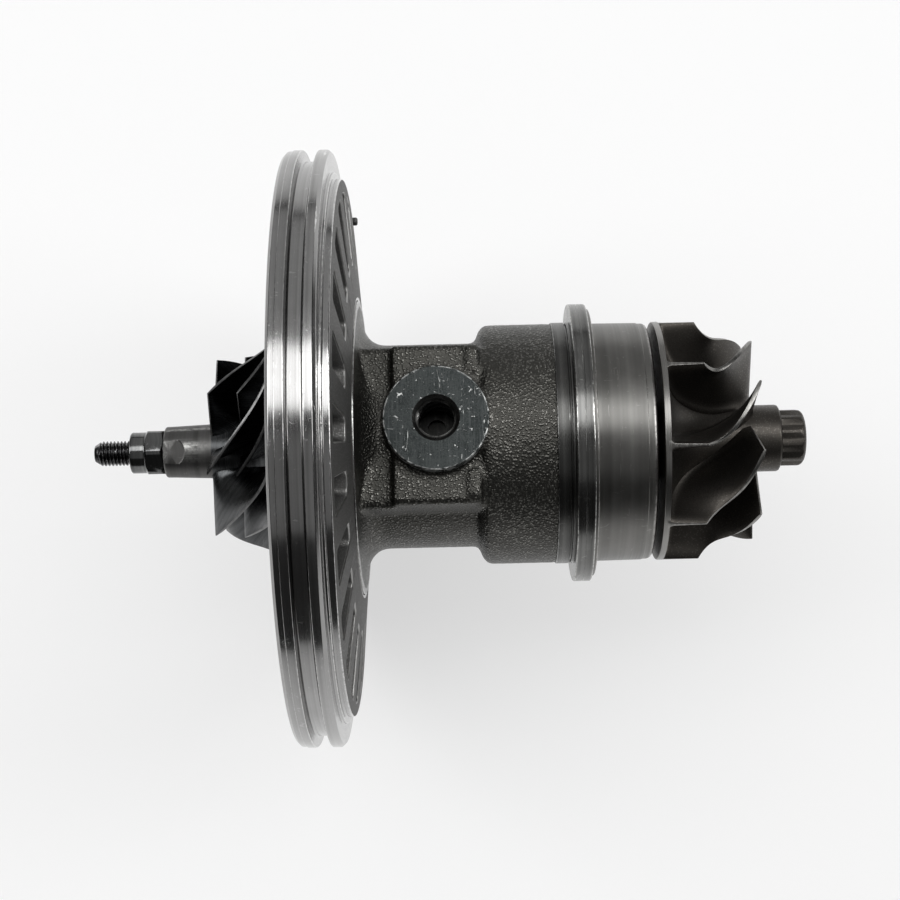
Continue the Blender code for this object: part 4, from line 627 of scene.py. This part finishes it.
def blade(name, hub_line, edge_line, turn_at, first, root, tip, flare, columns, rows):
    """One blade: a grid laid on its middle surface, thickened, with a flared root and rounded edges.

    It starts at a share of the hub and edge lines. Root, tip and flare are thicknesses.
    """
    sink = -0.07                # share of the blade's height that stands in the hub
    flare_height = 0.13         # share of its height that the flare takes up
    fade_in, fade_out = 0.06, 0.04      # shares of its length in which it thins towards the ends

    def end(share, height):
        x, radius = between(hub_line(share), edge_line(share), height)
        return polar(x, radius, turn_at(share, height, x))

    bpy.ops.object.select_all(action="DESELECT")
    bpy.ops.mesh.primitive_grid_add(x_subdivisions=columns, y_subdivisions=rows, size=2.0)
    piece = named(name)
    ends = {}
    weights = []
    for vertex in piece.data.vertices:
        share = first + (1.0 - first) * (vertex.co.x + 1.0) / 2.0
        up = ((vertex.co.y + 1.0) / 2.0) ** 1.5
        height = sink + (1.0 - sink) * up
        if share not in ends:
            ends[share] = (end(share, 0.0), end(share, 1.0))
        low, high = ends[share]
        vertex.co = low.lerp(high, height) * MM
        thick = root + (tip - root) * max(height, 0.0)
        thick += flare * max(1.0 - max(height, 0.0) / flare_height, 0.0) ** 2
        edge = min((share - first) / fade_in, (1.0 - share) / fade_out, 1.0)
        thick *= 0.50 + 0.50 * max(edge, 0.0) ** 0.6
        weights.append(thick)
    most = max(weights)
    group = piece.vertex_groups.new(name="thickness")
    for index, thick in enumerate(weights):
        group.add([index], thick / most, "REPLACE")
    dressed(piece, None, None)
    apply(piece, "SOLIDIFY", thickness=most * MM, offset=0.0, vertex_group="thickness",
          use_even_offset=False, material_offset_rim=1)
    apply(piece, "BEVEL", width=0.12 * MM, segments=2, limit_method="ANGLE", angle_limit=radians(50.0))
    return tidied(piece)


def compressor_wheel():
    """The compressor wheel: hub with its nose, seven full blades and seven splitter blades."""
    front, back = wheel_front, wheel_back
    line = softened([(back - 0.01, 3.8, 0.0), (front + 0.6, 3.8, 0.0), (front, 4.2, 0.1),
                     (front, 7.1, 0.55), (front + 2.0, 7.13, 0.0)])[1:]
    line += [compressor_hub(step / 28.0) for step in range(29)]
    outline = [(back, 3.8)] + line + [(back - 0.25, 36.5), (back, 36.3)]
    wheel = dressed(turned("compressor_wheel_body", outline, 172), wheel_metal, wheel_edge_highlight, nose_metal)
    for face in wheel.data.polygons:
        if face.center.x < (front + 13.6) * MM:
            face.material_index = 2
    first = radians(-26.7)
    blades = []
    for name, start, columns, angle in (("full_blade", 0.0, 36, first),
                                        ("splitter_blade", share_at(front + 22.8), 28, first + pi / 7.0)):
        vane = blade(name, compressor_hub, compressor_edge, compressor_turn, start, 1.5, 0.75, 1.3,
                     columns, 18)
        # blade rim faces take the lighter metal, a painted edge highlight
        blades.append(around(name + "s", dressed(vane, wheel_metal, wheel_edge_highlight), spaced(7, angle)))
    combined(wheel, [joined("blades", blades)], "UNION")
    flat = 6.4                  # height of the ground flat over the shaft line
    edge = front + 1.7          # where the flat's round end starts
    cutter = turned("flat_cutter", softened([(flat, 0.0, 0.0), (flat, 4.5, 0.35), (12.0, 4.5, 0.0),
                                             (12.0, 0.0, 0.0)]), 44, False)
    slab = block("flat_slab", (front - 3.0, -10.0, flat), (edge, 10.0, 12.0), 0.0)
    tools = [upright(cutter, edge), slab]
    for tool in tools:
        tool.data.transform(Matrix.Rotation(PHOTO_TILT, 4, "X"))
        dressed(tool, nose_metal)
    combined(wheel, tools)
    return beside(smooth(tidied(wheel), 38.0), "rotor", "compressor_wheel")


def turbine_wheel():
    """The turbine wheel: full back disc, nine curved blades and a nose with twelve points."""
    line = [turbine_hub(step / 28.0) for step in range(29)]
    outline = [(17.2, 0.0), (17.2, 5.3), (15.1, 5.3)]
    outline += softened([(15.1, 5.3, 0.0), (15.1, 10.5, 0.3), (18.5, 10.5, 0.6), (18.5, 33.2, 0.25),
                         (20.1, 33.2, 0.0)])[1:-1]
    outline += line + [(46.2, 9.3), (52.6, 9.3), (53.1, 9.1), (53.4, 8.6), (53.4, 7.0), (53.4, 0.0)]
    wheel = dressed(turned("turbine_wheel_body", outline, 172, False), turbine_skin, turbine_edge_metal)
    for face in wheel.data.polygons:
        radius = hypot(face.center.y, face.center.z)
        face.material_index = 1 if radius > 33.0 * MM and face.center.x < 20.2 * MM else 0
    vane = blade("vane", turbine_hub, turbine_edge, turbine_turn, 0.0, 2.2, 1.1, 2.2, 30, 18)
    vanes = around("vanes", dressed(vane, turbine_skin, turbine_edge_metal), spaced(9, radians(-15.0)))
    combined(wheel, [vanes, nose()], "UNION")
    return beside(smooth(tidied(wheel), 38.0), "rotor", "turbine_wheel")


def nose():
    """The twelve-point nose of the turbine wheel: a star bar cut to a rounded end."""
    points, start, end, radius = 12, 52.5, 60.4, 7.9
    flute, crest = 0.94, 1.02   # shares of the radius
    bpy.ops.object.select_all(action="DESELECT")
    bpy.ops.mesh.primitive_cylinder_add(vertices=2 * points, radius=radius * MM, depth=9.0 * MM)
    star = named("nose_star")
    star.data.transform(Matrix.Translation((56.4 * MM, 0.0, 0.0)) @ Matrix.Rotation(pi / 2.0, 4, "Y"))
    for vertex in star.data.vertices:
        step = round(atan2(vertex.co.y, vertex.co.z) / (pi / points))
        share = flute if step % 2 == 1 else crest
        vertex.co.y *= share
        vertex.co.z *= share
    blank = turned("nose_blank", softened([(start, 0.0, 0.0), (start, radius, 0.0), (end, radius, 2.2),
                                           (end, 0.0, 0.0)], 8), 140, False)
    combined(star, [blank], "INTERSECT")
    apply(star, "BEVEL", width=0.25 * MM, segments=2, limit_method="ANGLE", angle_limit=radians(28.0))
    return dressed(tidied(star), turbine_skin)


# Nut and shaft

def shaft_nut():
    """The shaft nut: hexagon with turned corners, round collar and a bored thread."""
    front, back = nut_front, nut_back
    shoulder = front + 4.6
    flats = 12.0                # width of the hexagon
    blank = turned("nut_blank", softened([
        (front, 3.8, 0.0), (front, 5.75, 0.5), (shoulder - 0.35, 5.75, 0.3), (shoulder, 6.1, 0.1),
        (shoulder + 0.45, 6.65, 0.1), (back - 0.5, 6.65, 0.1), (back, 6.0, 0.1), (back, 3.8, 0.0)]), 124)
    bpy.ops.object.select_all(action="DESELECT")
    bpy.ops.mesh.primitive_cylinder_add(vertices=6, radius=flats / 2.0 / cos(pi / 6.0) * MM,
                                        depth=14.0 * MM)
    hexagon = named("shaft_nut_body")
    hexagon.data.transform(Matrix.Translation(((front + back) / 2.0 * MM, 0.0, 0.0))
                           @ Matrix.Rotation(-radians(17.3), 4, "X") @ Matrix.Rotation(pi / 2.0, 4, "Y"))
    combined(hexagon, [blank], "INTERSECT")
    apply(hexagon, "BEVEL", width=0.12 * MM, segments=2, limit_method="ANGLE", angle_limit=radians(30.0))
    return beside(smooth(dressed(tidied(hexagon), nut_steel)), "rotor", "shaft_nut")


def shaft():
    """The shaft: cut thread at the nut end, stub, journals and the ringed boss at the turbine."""
    tip, end = shaft_tip, shaft_end
    thread_end = nut_front + 2.0
    thread, journal, boss = 3.5, 5.25, 9.2      # radii
    count = round((thread_end - tip) / 0.0625)
    outline = [(tip, 0.0), (tip, 1.6)]
    for step in range(count + 1):
        x = tip + (thread_end - tip) * step / count
        outline.append((x, min(2.3 + 1.25 * (x - tip) / 2.0, thread)))
    outline += softened([
        (thread_end + 0.2, thread, 0.0), (-62.9, thread, 0.2), (-62.9, journal, 0.3), (4.0, journal, 0.6),
        (5.0, boss, 0.3), (8.6, boss, 0.0), (8.6, 7.6, 0.0), (10.4, 7.6, 0.0), (10.4, boss, 0.0),
        (end - 2.7, boss, 0.3), (end - 2.7, 5.0, 0.2), (end, 5.0, 0.3), (end, 0.0, 0.0)])
    rod = turned("shaft_body", outline, 60, False)
    for vertex in rod.data.vertices:
        x, y, z = vertex.co
        radius = hypot(y, z)
        if radius < 1.7 * MM or x > thread_end * MM or x <= tip * MM + 1e-6:
            continue
        phase = (x / MM + atan2(y, z) / (2.0 * pi)) % 1.0
        groove = 0.61 * min(max(1.35 * (1.0 - abs(2.0 * phase - 1.0)) - 0.10, 0.0), 1.0)
        target = min(radius, (thread - groove) * MM)
        vertex.co.y = y * target / radius
        vertex.co.z = z * target / radius
    dressed(rod, shaft_metal, thread_steel)
    for face in rod.data.polygons:
        face.material_index = 1 if face.center.x < thread_end * MM else 0
    return beside(smooth(rod, 50.0), "rotor", "shaft")


# Material nodes

def new_group(name, inputs, outputs):
    """An empty shader group with float inputs (name, value) and float outputs."""
    tree = bpy.data.node_groups.new(name, "ShaderNodeTree")
    for label, value in inputs:
        socket = tree.interface.new_socket(name=label, in_out="INPUT", socket_type="NodeSocketFloat")
        socket.default_value = value
    for label in outputs:
        tree.interface.new_socket(name=label, in_out="OUTPUT", socket_type="NodeSocketFloat")
    return tree, tree.nodes.new("NodeGroupInput").outputs, tree.nodes.new("NodeGroupOutput").inputs


def put(tree, socket, value):
    """Link a value from another node into a socket, or write a number or colour there."""
    if isinstance(value, bpy.types.NodeSocket):
        tree.links.new(value, socket)
    elif value is not None:
        socket.default_value = value


def maths(tree, operation, first, second=None):
    """A Math node's result."""
    step = tree.nodes.new("ShaderNodeMath")
    step.operation = operation
    put(tree, step.inputs[0], first)
    put(tree, step.inputs[1], second)
    return step.outputs[0]


def times(tree, first, second):
    """Two values multiplied."""
    return maths(tree, "MULTIPLY", first, second)


def plus(tree, first, second):
    """Two values added."""
    return maths(tree, "ADD", first, second)


def distance(tree, first, second):
    """The distance from an axis, from the two coordinates across it."""
    return maths(tree, "SQRT", plus(tree, times(tree, first, first), times(tree, second, second)))


def noise(tree, vector, scale, detail=2.0, rough=0.5, dimensions="3D", bend=0.0):
    """A Noise node's value."""
    step = tree.nodes.new("ShaderNodeTexNoise")
    step.noise_dimensions = dimensions
    put(tree, step.inputs["W" if dimensions == "1D" else "Vector"], vector)
    put(tree, step.inputs["Scale"], scale)
    step.inputs["Detail"].default_value = detail
    step.inputs["Roughness"].default_value = rough
    step.inputs["Distortion"].default_value = bend
    return step.outputs[0]


def spread(tree, value, low, high, to_low=0.0, to_high=1.0):
    """A Map Range node's result, smooth between its ends."""
    step = tree.nodes.new("ShaderNodeMapRange")
    step.interpolation_type = "SMOOTHSTEP"
    for socket, item in zip(step.inputs, (value, low, high, to_low, to_high)):
        put(tree, socket, item)
    return step.outputs[0]


def place(tree, stretch=(1.0, 1.0, 1.0), turn=(0.0, 0.0, 0.0)):
    """Object coordinates, stretched and turned."""
    source = tree.nodes.new("ShaderNodeTexCoord")
    mapping = tree.nodes.new("ShaderNodeMapping")
    mapping.inputs["Scale"].default_value = stretch
    mapping.inputs["Rotation"].default_value = turn
    tree.links.new(source.outputs["Object"], mapping.inputs["Vector"])
    return mapping.outputs["Vector"]


def mixed(tree, share, first, second):
    """A blend of two colours."""
    step = tree.nodes.new("ShaderNodeMix")
    step.data_type = "RGBA"
    put(tree, step.inputs["Factor"], share)
    for socket, value in ((step.inputs[6], first), (step.inputs[7], second)):
        put(tree, socket, (*value, 1.0) if isinstance(value, tuple) else value)
    return step.outputs[2]


def grain_group():
    """Cast skin: rounded grains with pits between them."""
    tree, given, out = new_group("cast_grain", [("Per Metre", 1000.0)], ["Height", "Grain", "Patch"])
    where = place(tree)
    cells = tree.nodes.new("ShaderNodeTexVoronoi")
    cells.feature = "SMOOTH_F1"
    cells.inputs["Smoothness"].default_value = 0.6
    soft = noise(tree, where, times(tree, given[0], 0.9), 3.0, 0.6)
    fine = noise(tree, where, times(tree, given[0], 2.4), 2.0, 0.6)
    put(tree, cells.inputs["Vector"], where)
    put(tree, cells.inputs["Scale"], given[0])
    grain = spread(tree, cells.outputs["Distance"], 0.10, 0.70, 1.0, 0.0)
    both = plus(tree, times(tree, grain, 0.7), times(tree, soft, 0.45))
    put(tree, out[0], plus(tree, both, times(tree, fine, 0.35)))
    put(tree, out[1], spread(tree, both, 0.50, 1.00))
    put(tree, out[2], noise(tree, where, 70.0, 3.0, 0.6))
    return tree


def lathe_group():
    """Turning lines around the shaft: fine lines and wider bands."""
    tree, given, out = new_group("lathe_lines", [("Per Metre", 4000.0)], ["Fine", "Band"])
    parts = tree.nodes.new("ShaderNodeSeparateXYZ")
    put(tree, parts.inputs[0], place(tree))
    x, y, z = parts.outputs
    depth = plus(tree, x, distance(tree, y, z))
    wander = times(tree, noise(tree, place(tree), 25.0, 1.0), 0.0002)
    depth = plus(tree, depth, wander)
    put(tree, out[0], noise(tree, depth, given[0], 3.0, 0.7, "1D"))
    put(tree, out[1], noise(tree, depth, times(tree, given[0], 0.15), 2.0, 0.5, "1D"))
    return tree


def edge_wear_and_highlight_group():
    """Bright edges broken up by noise: partly worn metal, partly a painted highlight on sharp edges."""
    tree, given, out = new_group("worn_and_highlit_edges", [("Amount", 1.0), ("Sharp", 0.03)], ["Wear"])
    shape = tree.nodes.new("ShaderNodeNewGeometry")
    point = maths(tree, "SUBTRACT", shape.outputs["Pointiness"], 0.5)
    rough = spread(tree, noise(tree, place(tree), 900.0, 3.0, 0.7), 0.30, 0.62)
    # sharp edges found by pointiness: painted highlight along them, as well as wear
    edge = spread(tree, point, 0.01, given[1])
    put(tree, out[0], times(tree, times(tree, edge, rough), given[0]))
    return tree


def marks_group():
    """Handling marks: fine scratches in two directions, and small nicks."""
    tree, given, out = new_group("handling_marks", [("Amount", 1.0)], ["Scratch", "Nick"])
    lines = []
    for stretch, turn in (((200.0, 22.0, 40.0), (0.1, 0.2, 0.25)), ((60.0, 170.0, 30.0), (0.3, 0.1, -0.6))):
        value = noise(tree, place(tree, stretch, turn), 6.0, 2.0, 0.6, bend=1.4)
        lines.append(spread(tree, value, 0.68, 0.73))
    scratch = times(tree, maths(tree, "MAXIMUM", lines[0], lines[1]), given[0])
    nick = spread(tree, noise(tree, place(tree), 750.0, 2.0, 0.55, bend=1.0), 0.66, 0.72)
    put(tree, out[0], scratch)
    put(tree, out[1], times(tree, nick, given[0]))
    return tree


GRAIN = grain_group()
LATHE = lathe_group()
EDGE_WEAR_AND_HIGHLIGHT = edge_wear_and_highlight_group()
MARKS = marks_group()


def placed(tree, group, **values):
    """A group placed in a material with its own values; returns its outputs."""
    step = tree.nodes.new("ShaderNodeGroup")
    step.node_tree = group
    for label, value in values.items():
        step.inputs[label.replace("_", " ").title()].default_value = value
    return step.outputs


def shader(name, metallic, roughness):
    """A new material; returns it, its node tree and its Principled shader."""
    surface = bpy.data.materials.new(name)
    surface.use_nodes = True
    tree = surface.node_tree
    principled = tree.nodes["Principled BSDF"]
    principled.inputs["Metallic"].default_value = metallic
    principled.inputs["Roughness"].default_value = roughness
    return surface, tree, principled


def bumped(tree, principled, height, distance):
    """Feed a height into the shader's normal through a Bump node; distance is in metres."""
    step = tree.nodes.new("ShaderNodeBump")
    step.inputs["Distance"].default_value = distance
    put(tree, step.inputs["Height"], height)
    put(tree, principled.inputs["Normal"], step.outputs["Normal"])


def cast_metal(name, dark, light, roughness, grain, relief, metallic=0.95):
    """A sand-cast skin: grains that catch the light over darker pits, in uneven patches.

    Grain is in cells per metre and relief in metres.
    """
    surface, tree, principled = shader(name, metallic, 0.5)
    height, grains, patch = placed(tree, GRAIN, per_metre=grain)
    tone = plus(tree, times(tree, grains, 0.5), times(tree, patch, 0.7))
    put(tree, principled.inputs["Base Color"], mixed(tree, spread(tree, tone, 0.35, 0.95), dark, light))
    put(tree, principled.inputs["Roughness"], spread(tree, grains, 0.0, 1.0, roughness[1], roughness[0]))
    bumped(tree, principled, height, relief)
    return surface


def lathe_metal(name, dark, light, worn_and_highlight_colour, roughness=(0.22, 0.38), lines=4000.0, relief=0.000012, marks=0.4,
                wear_and_highlight=0.8):
    """A machined metal with turning lines, faint marks and edges painted bright: wear plus painted
    highlight.

    Lines are in lines per metre and relief in metres.
    """
    surface, tree, principled = shader(name, 1.0, 0.3)
    fine, band = placed(tree, LATHE, per_metre=lines)
    scratch, nick = placed(tree, MARKS, amount=marks)
    edges = placed(tree, EDGE_WEAR_AND_HIGHLIGHT, amount=wear_and_highlight, sharp=0.05)[0]
    patch = noise(tree, place(tree), 45.0, 3.0, 0.6)
    tone = plus(tree, times(tree, band, 0.6), times(tree, patch, 0.5))
    colour = mixed(tree, spread(tree, tone, 0.35, 0.75), dark, light)
    # bright: the edge band (wear and painted highlight) and real scratches
    bright = maths(tree, "MAXIMUM", edges, times(tree, scratch, 0.6))
    put(tree, principled.inputs["Base Color"], mixed(tree, bright, colour, worn_and_highlight_colour))
    rough = plus(tree, times(tree, fine, 0.5), times(tree, patch, 0.5))
    rough = spread(tree, rough, 0.3, 0.7, roughness[0], roughness[1])
    rough = times(tree, rough, spread(tree, edges, 0.0, 1.0, 1.0, 0.6))
    put(tree, principled.inputs["Roughness"], rough)
    height = maths(tree, "SUBTRACT", fine, times(tree, maths(tree, "MAXIMUM", scratch, nick), 2.0))
    bumped(tree, principled, height, relief)
    return surface


def pad_surface():
    """Milled, handled pad top: blue-grey metal with nicks and a bright rim of wear and painted highlight."""
    surface, tree, principled = shader("pad_metal", 0.9, 0.4)
    scratch, nick = placed(tree, MARKS, amount=1.0)
    parts = tree.nodes.new("ShaderNodeSeparateXYZ")
    put(tree, parts.inputs[0], place(tree))
    x, y, z = parts.outputs
    away = distance(tree, maths(tree, "SUBTRACT", x, INLET_X * MM), y)
    rim = spread(tree, away, 13.5 * MM, 13.8 * MM)
    rim = times(tree, rim, maths(tree, "GREATER_THAN", z, 0.0))
    broken = spread(tree, noise(tree, place(tree), 420.0, 3.0, 0.7), 0.38, 0.58)
    # bright rim round the pad's edge: partly wear, partly a painted highlight
    wear_and_highlight = times(tree, rim, broken)
    mill = noise(tree, place(tree, (2600.0, 140.0, 300.0)), 1.0, 3.0, 0.6)
    patch = noise(tree, place(tree), 160.0, 5.0, 0.72)
    speck = noise(tree, place(tree), 2600.0, 2.0, 0.6)
    tone = plus(tree, times(tree, patch, 0.65), times(tree, speck, 0.4))
    colour = mixed(tree, spread(tree, tone, 0.40, 0.66), (0.014, 0.0165, 0.0165), (0.060, 0.067, 0.066))
    colour = mixed(tree, spread(tree, mill, 0.45, 0.75, 0.0, 0.5), colour, (0.085, 0.092, 0.092))
    bright = maths(tree, "MAXIMUM", wear_and_highlight, maths(tree, "MAXIMUM", scratch, nick))
    put(tree, principled.inputs["Base Color"], mixed(tree, bright, colour, (0.55, 0.56, 0.55)))
    put(tree, principled.inputs["Roughness"], spread(tree, patch, 0.3, 0.7, 0.42, 0.60))
    height = maths(tree, "SUBTRACT", times(tree, mill, 0.4), maths(tree, "MAXIMUM", scratch, nick))
    bumped(tree, principled, height, 0.00005)
    return surface


def rubber_surface():
    """Soft black rubber with a faint bloom."""
    surface, tree, principled = shader("ring_rubber", 0.0, 0.6)
    patch = noise(tree, place(tree), 400.0, 4.0, 0.6)
    colour = mixed(tree, patch, (0.012, 0.012, 0.012), (0.035, 0.035, 0.036))
    put(tree, principled.inputs["Base Color"], colour)
    put(tree, principled.inputs["Roughness"], spread(tree, patch, 0.3, 0.7, 0.5, 0.7))
    bumped(tree, principled, patch, 0.00003)
    return surface


cast_iron = cast_metal("cast_iron_skin", (0.055, 0.054, 0.049), (0.19, 0.186, 0.172), (0.20, 0.40),
                       grain=1500.0, relief=0.00018)
plate_casting = cast_metal("plate_casting", (0.095, 0.094, 0.091), (0.15, 0.148, 0.144), (0.44, 0.60),
                           grain=2200.0, relief=0.00004, metallic=0.9)
# lighter than the casting: painted highlight on the pocket chamfers
pocket_edge_highlight = lathe_metal("pocket_edge_highlight", (0.24, 0.238, 0.232), (0.34, 0.338, 0.33), (0.6, 0.6, 0.58),
                          (0.30, 0.42), relief=0.000004, marks=0.0, wear_and_highlight=0.0)
rim_metal = lathe_metal("rim_turned", (0.25, 0.248, 0.245), (0.36, 0.358, 0.355), (0.8, 0.8, 0.79),
                        (0.12, 0.22), relief=0.000008)
flange_metal = lathe_metal("flange_turned", (0.10, 0.10, 0.097), (0.19, 0.19, 0.185), (0.6, 0.6, 0.58),
                           (0.16, 0.30))
band_metal = lathe_metal("band_turned", (0.055, 0.055, 0.053), (0.11, 0.11, 0.106), (0.4, 0.4, 0.39),
                         (0.24, 0.38))
pad_metal = pad_surface()
# near-black: painted shade for the inside of the deep feed hole
deep_bore_shade_metal = lathe_metal("painted_shade_bore", (0.006, 0.006, 0.006), (0.018, 0.018, 0.017), (0.10, 0.10, 0.10),
                         (0.3, 0.5))
bore_metal = lathe_metal("bore_metal", (0.035, 0.035, 0.034), (0.075, 0.075, 0.072), (0.3, 0.3, 0.29),
                         (0.30, 0.45))
# strong edge band: a painted highlight along the cup's rounded end, partly wear
shield_steel = lathe_metal("shield_steel", (0.12, 0.118, 0.112), (0.20, 0.197, 0.188), (0.62, 0.61, 0.59),
                           (0.30, 0.42), lines=1500.0, relief=0.000005, marks=0.25, wear_and_highlight=1.6)
turbine_skin = cast_metal("turbine_skin", (0.060, 0.055, 0.049), (0.100, 0.093, 0.084), (0.30, 0.42),
                          grain=1800.0, relief=0.000010)
turbine_edge_metal = lathe_metal("turbine_edge", (0.16, 0.156, 0.148), (0.29, 0.285, 0.273),
                                 (0.4, 0.39, 0.38), (0.24, 0.38), lines=6000.0, relief=0.000004,
                                 marks=0.0, wear_and_highlight=0.0)
wheel_metal = lathe_metal("wheel_metal", (0.035, 0.037, 0.038), (0.075, 0.077, 0.079), (0.40, 0.40, 0.40),
                          (0.2, 0.34), lines=3000.0, relief=0.000003, marks=0.2, wear_and_highlight=0.0)
nose_metal = lathe_metal("nose_metal", (0.075, 0.074, 0.072), (0.13, 0.128, 0.125), (0.30, 0.30, 0.29),
                         (0.40, 0.52), lines=3000.0, relief=0.000004, marks=0.3)
# lighter than the blades: painted highlight on the compressor blade edges
wheel_edge_highlight = lathe_metal("wheel_edge_highlight", (0.09, 0.09, 0.09), (0.17, 0.17, 0.17), (0.3, 0.3, 0.3),
                         (0.25, 0.38), lines=5000.0, relief=0.000004, marks=0.0, wear_and_highlight=0.0)
nut_steel = lathe_metal("nut_steel", (0.10, 0.102, 0.102), (0.19, 0.192, 0.19), (0.5, 0.5, 0.5),
                        (0.10, 0.22), lines=5000.0, relief=0.000008, wear_and_highlight=0.0)
shaft_metal = lathe_metal("shaft_metal", (0.26, 0.26, 0.26), (0.42, 0.42, 0.42), (0.7, 0.7, 0.7),
                          (0.12, 0.24))
thread_steel = lathe_metal("thread_steel", (0.025, 0.025, 0.026), (0.07, 0.07, 0.072), (0.45, 0.45, 0.45),
                           (0.18, 0.3))
bronze_metal = lathe_metal("bronze_metal", (0.36, 0.22, 0.10), (0.60, 0.40, 0.20), (0.85, 0.65, 0.40))
spring_metal = lathe_metal("spring_metal", (0.08, 0.08, 0.085), (0.18, 0.18, 0.19), (0.5, 0.5, 0.5))
ring_rubber = rubber_surface()


def numbered(name, count):
    """The names of a row of numbered nodes."""
    return tuple(f"{name}_{number}" for number in range(1, count + 1))


CARRIED = {
    bronze_metal: ("journal_bearing_compressor", "journal_bearing_turbine", "thrust_bearing"),
    spring_metal: (*numbered("bearing_clip", 4), "seal_plate_snap_ring", "piston_ring_compressor",
                   "piston_ring_turbine"),
    ring_rubber: ("backplate_o_ring", "seal_plate_o_ring"),
    shield_steel: ("oil_deflector",),
    nut_steel: (*numbered("backplate_screw", 6), *numbered("thrust_screw", 3)),
    shaft_metal: ("backplate_dowel", "seal_plate", "seal_sleeve", "thrust_collar", "thrust_runner"),
}
for surface, nodes in CARRIED.items():
    for node in nodes:
        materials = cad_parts[node].data.materials
        materials.clear()
        materials.append(surface)


# Stage

def floor():
    """A plain pale floor under the lowest point, whitened where it is seen or mirrored."""
    bpy.ops.object.select_all(action="DESELECT")
    low = cad_box[0]
    bpy.ops.mesh.primitive_plane_add(size=8.0, location=(0.0, 0.0, low[2] - 0.0005))
    ground = named("pale_floor")
    surface, tree, principled = shader("floor_white", 0.0, 0.9)
    principled.inputs["Base Color"].default_value = (0.93, 0.93, 0.93, 1.0)
    principled.inputs["Specular IOR Level"].default_value = 0.1
    rays = tree.nodes.new("ShaderNodeLightPath").outputs
    seen = maths(tree, "MAXIMUM", rays["Is Camera Ray"],
                 maths(tree, "MAXIMUM", rays["Is Glossy Ray"], rays["Is Transmission Ray"]))
    white = tree.nodes.new("ShaderNodeEmission")
    blend = tree.nodes.new("ShaderNodeMixShader")
    put(tree, blend.inputs[0], times(tree, seen, 0.6))
    put(tree, blend.inputs[1], principled.outputs[0])
    put(tree, blend.inputs[2], white.outputs[0])
    put(tree, tree.nodes["Material Output"].inputs["Surface"], blend.outputs[0])
    ground.data.materials.append(surface)


def lamp(name, place_at, aim, size, power, across=None):
    """A soft rectangular lamp aimed at a point."""
    light = bpy.data.lights.new(name, "AREA")
    light.shape = "RECTANGLE"
    light.size = size
    light.size_y = across or size
    light.energy = power
    holder = bpy.data.objects.new(name, light)
    bpy.context.scene.collection.objects.link(holder)
    holder.location = place_at
    holder.rotation_euler = (Vector(aim) - Vector(place_at)).to_track_quat("-Z", "Y").to_euler()


def studio():
    """Soft lamps over the bench and a dim grey room."""
    aim = (-0.03, 0.0, 0.0)
    lamp("key_lamp", (-0.05, 0.26, 1.07), aim, 2.0, 9.5, 0.46)
    lamp("back_lamp", (-0.03, 0.98, 0.69), aim, 1.4, 2.6, 1.4)
    lamp("ceiling_lamp", (-0.03, -0.5, 1.08), aim, 1.6, 0.9, 0.8)
    lamp("right_lamp", (1.0, 0.15, 0.75), aim, 0.6, 5.5)
    lamp("left_lamp", (-1.0, 0.2, 0.75), aim, 0.6, 4.5)
    world = bpy.context.scene.world or bpy.data.worlds.new("room")
    bpy.context.scene.world = world
    world.use_nodes = True
    background = world.node_tree.nodes.get("Background") or world.node_tree.nodes.new("ShaderNodeBackground")
    background.inputs["Color"].default_value = (0.04, 0.04, 0.04, 1.0)
    background.inputs["Strength"].default_value = 1.0


def camera():
    """The photograph's view: from above the oil inlet, a little to one side."""
    roll = radians(1.36)
    distance_away = 0.4928
    foot = Vector((-0.0331, 0.0, 0.0))
    toward = Vector((0.0, -sin(PHOTO_TILT), cos(PHOTO_TILT)))
    above = Vector((0.0, cos(PHOTO_TILT), sin(PHOTO_TILT)))
    shaft_line = Vector((1.0, 0.0, 0.0))
    right = shaft_line * cos(roll) - above * sin(roll)
    up = above * cos(roll) + shaft_line * sin(roll)
    eye = foot + distance_away * toward
    aim = foot - 0.00504 * right - 0.00134 * up
    back = (eye - aim).normalized()
    right = up.cross(back).normalized()
    up = back.cross(right)
    lens = bpy.data.cameras.new("photo_camera")
    lens.lens = 70.4
    lens.sensor_width = 36.0
    lens.clip_start = 0.01
    holder = bpy.data.objects.new("photo_camera", lens)
    bpy.context.scene.collection.objects.link(holder)
    holder.matrix_world = Matrix.Translation(eye) @ Matrix((right, up, back)).transposed().to_4x4()
    bpy.context.scene.camera = holder


floor()
studio()
camera()
bpy.context.scene.view_settings.view_transform = "Standard"

backplate()
index_pin()
housing()
heat_shield()
compressor_wheel()
turbine_wheel()
shaft_nut()
shaft()
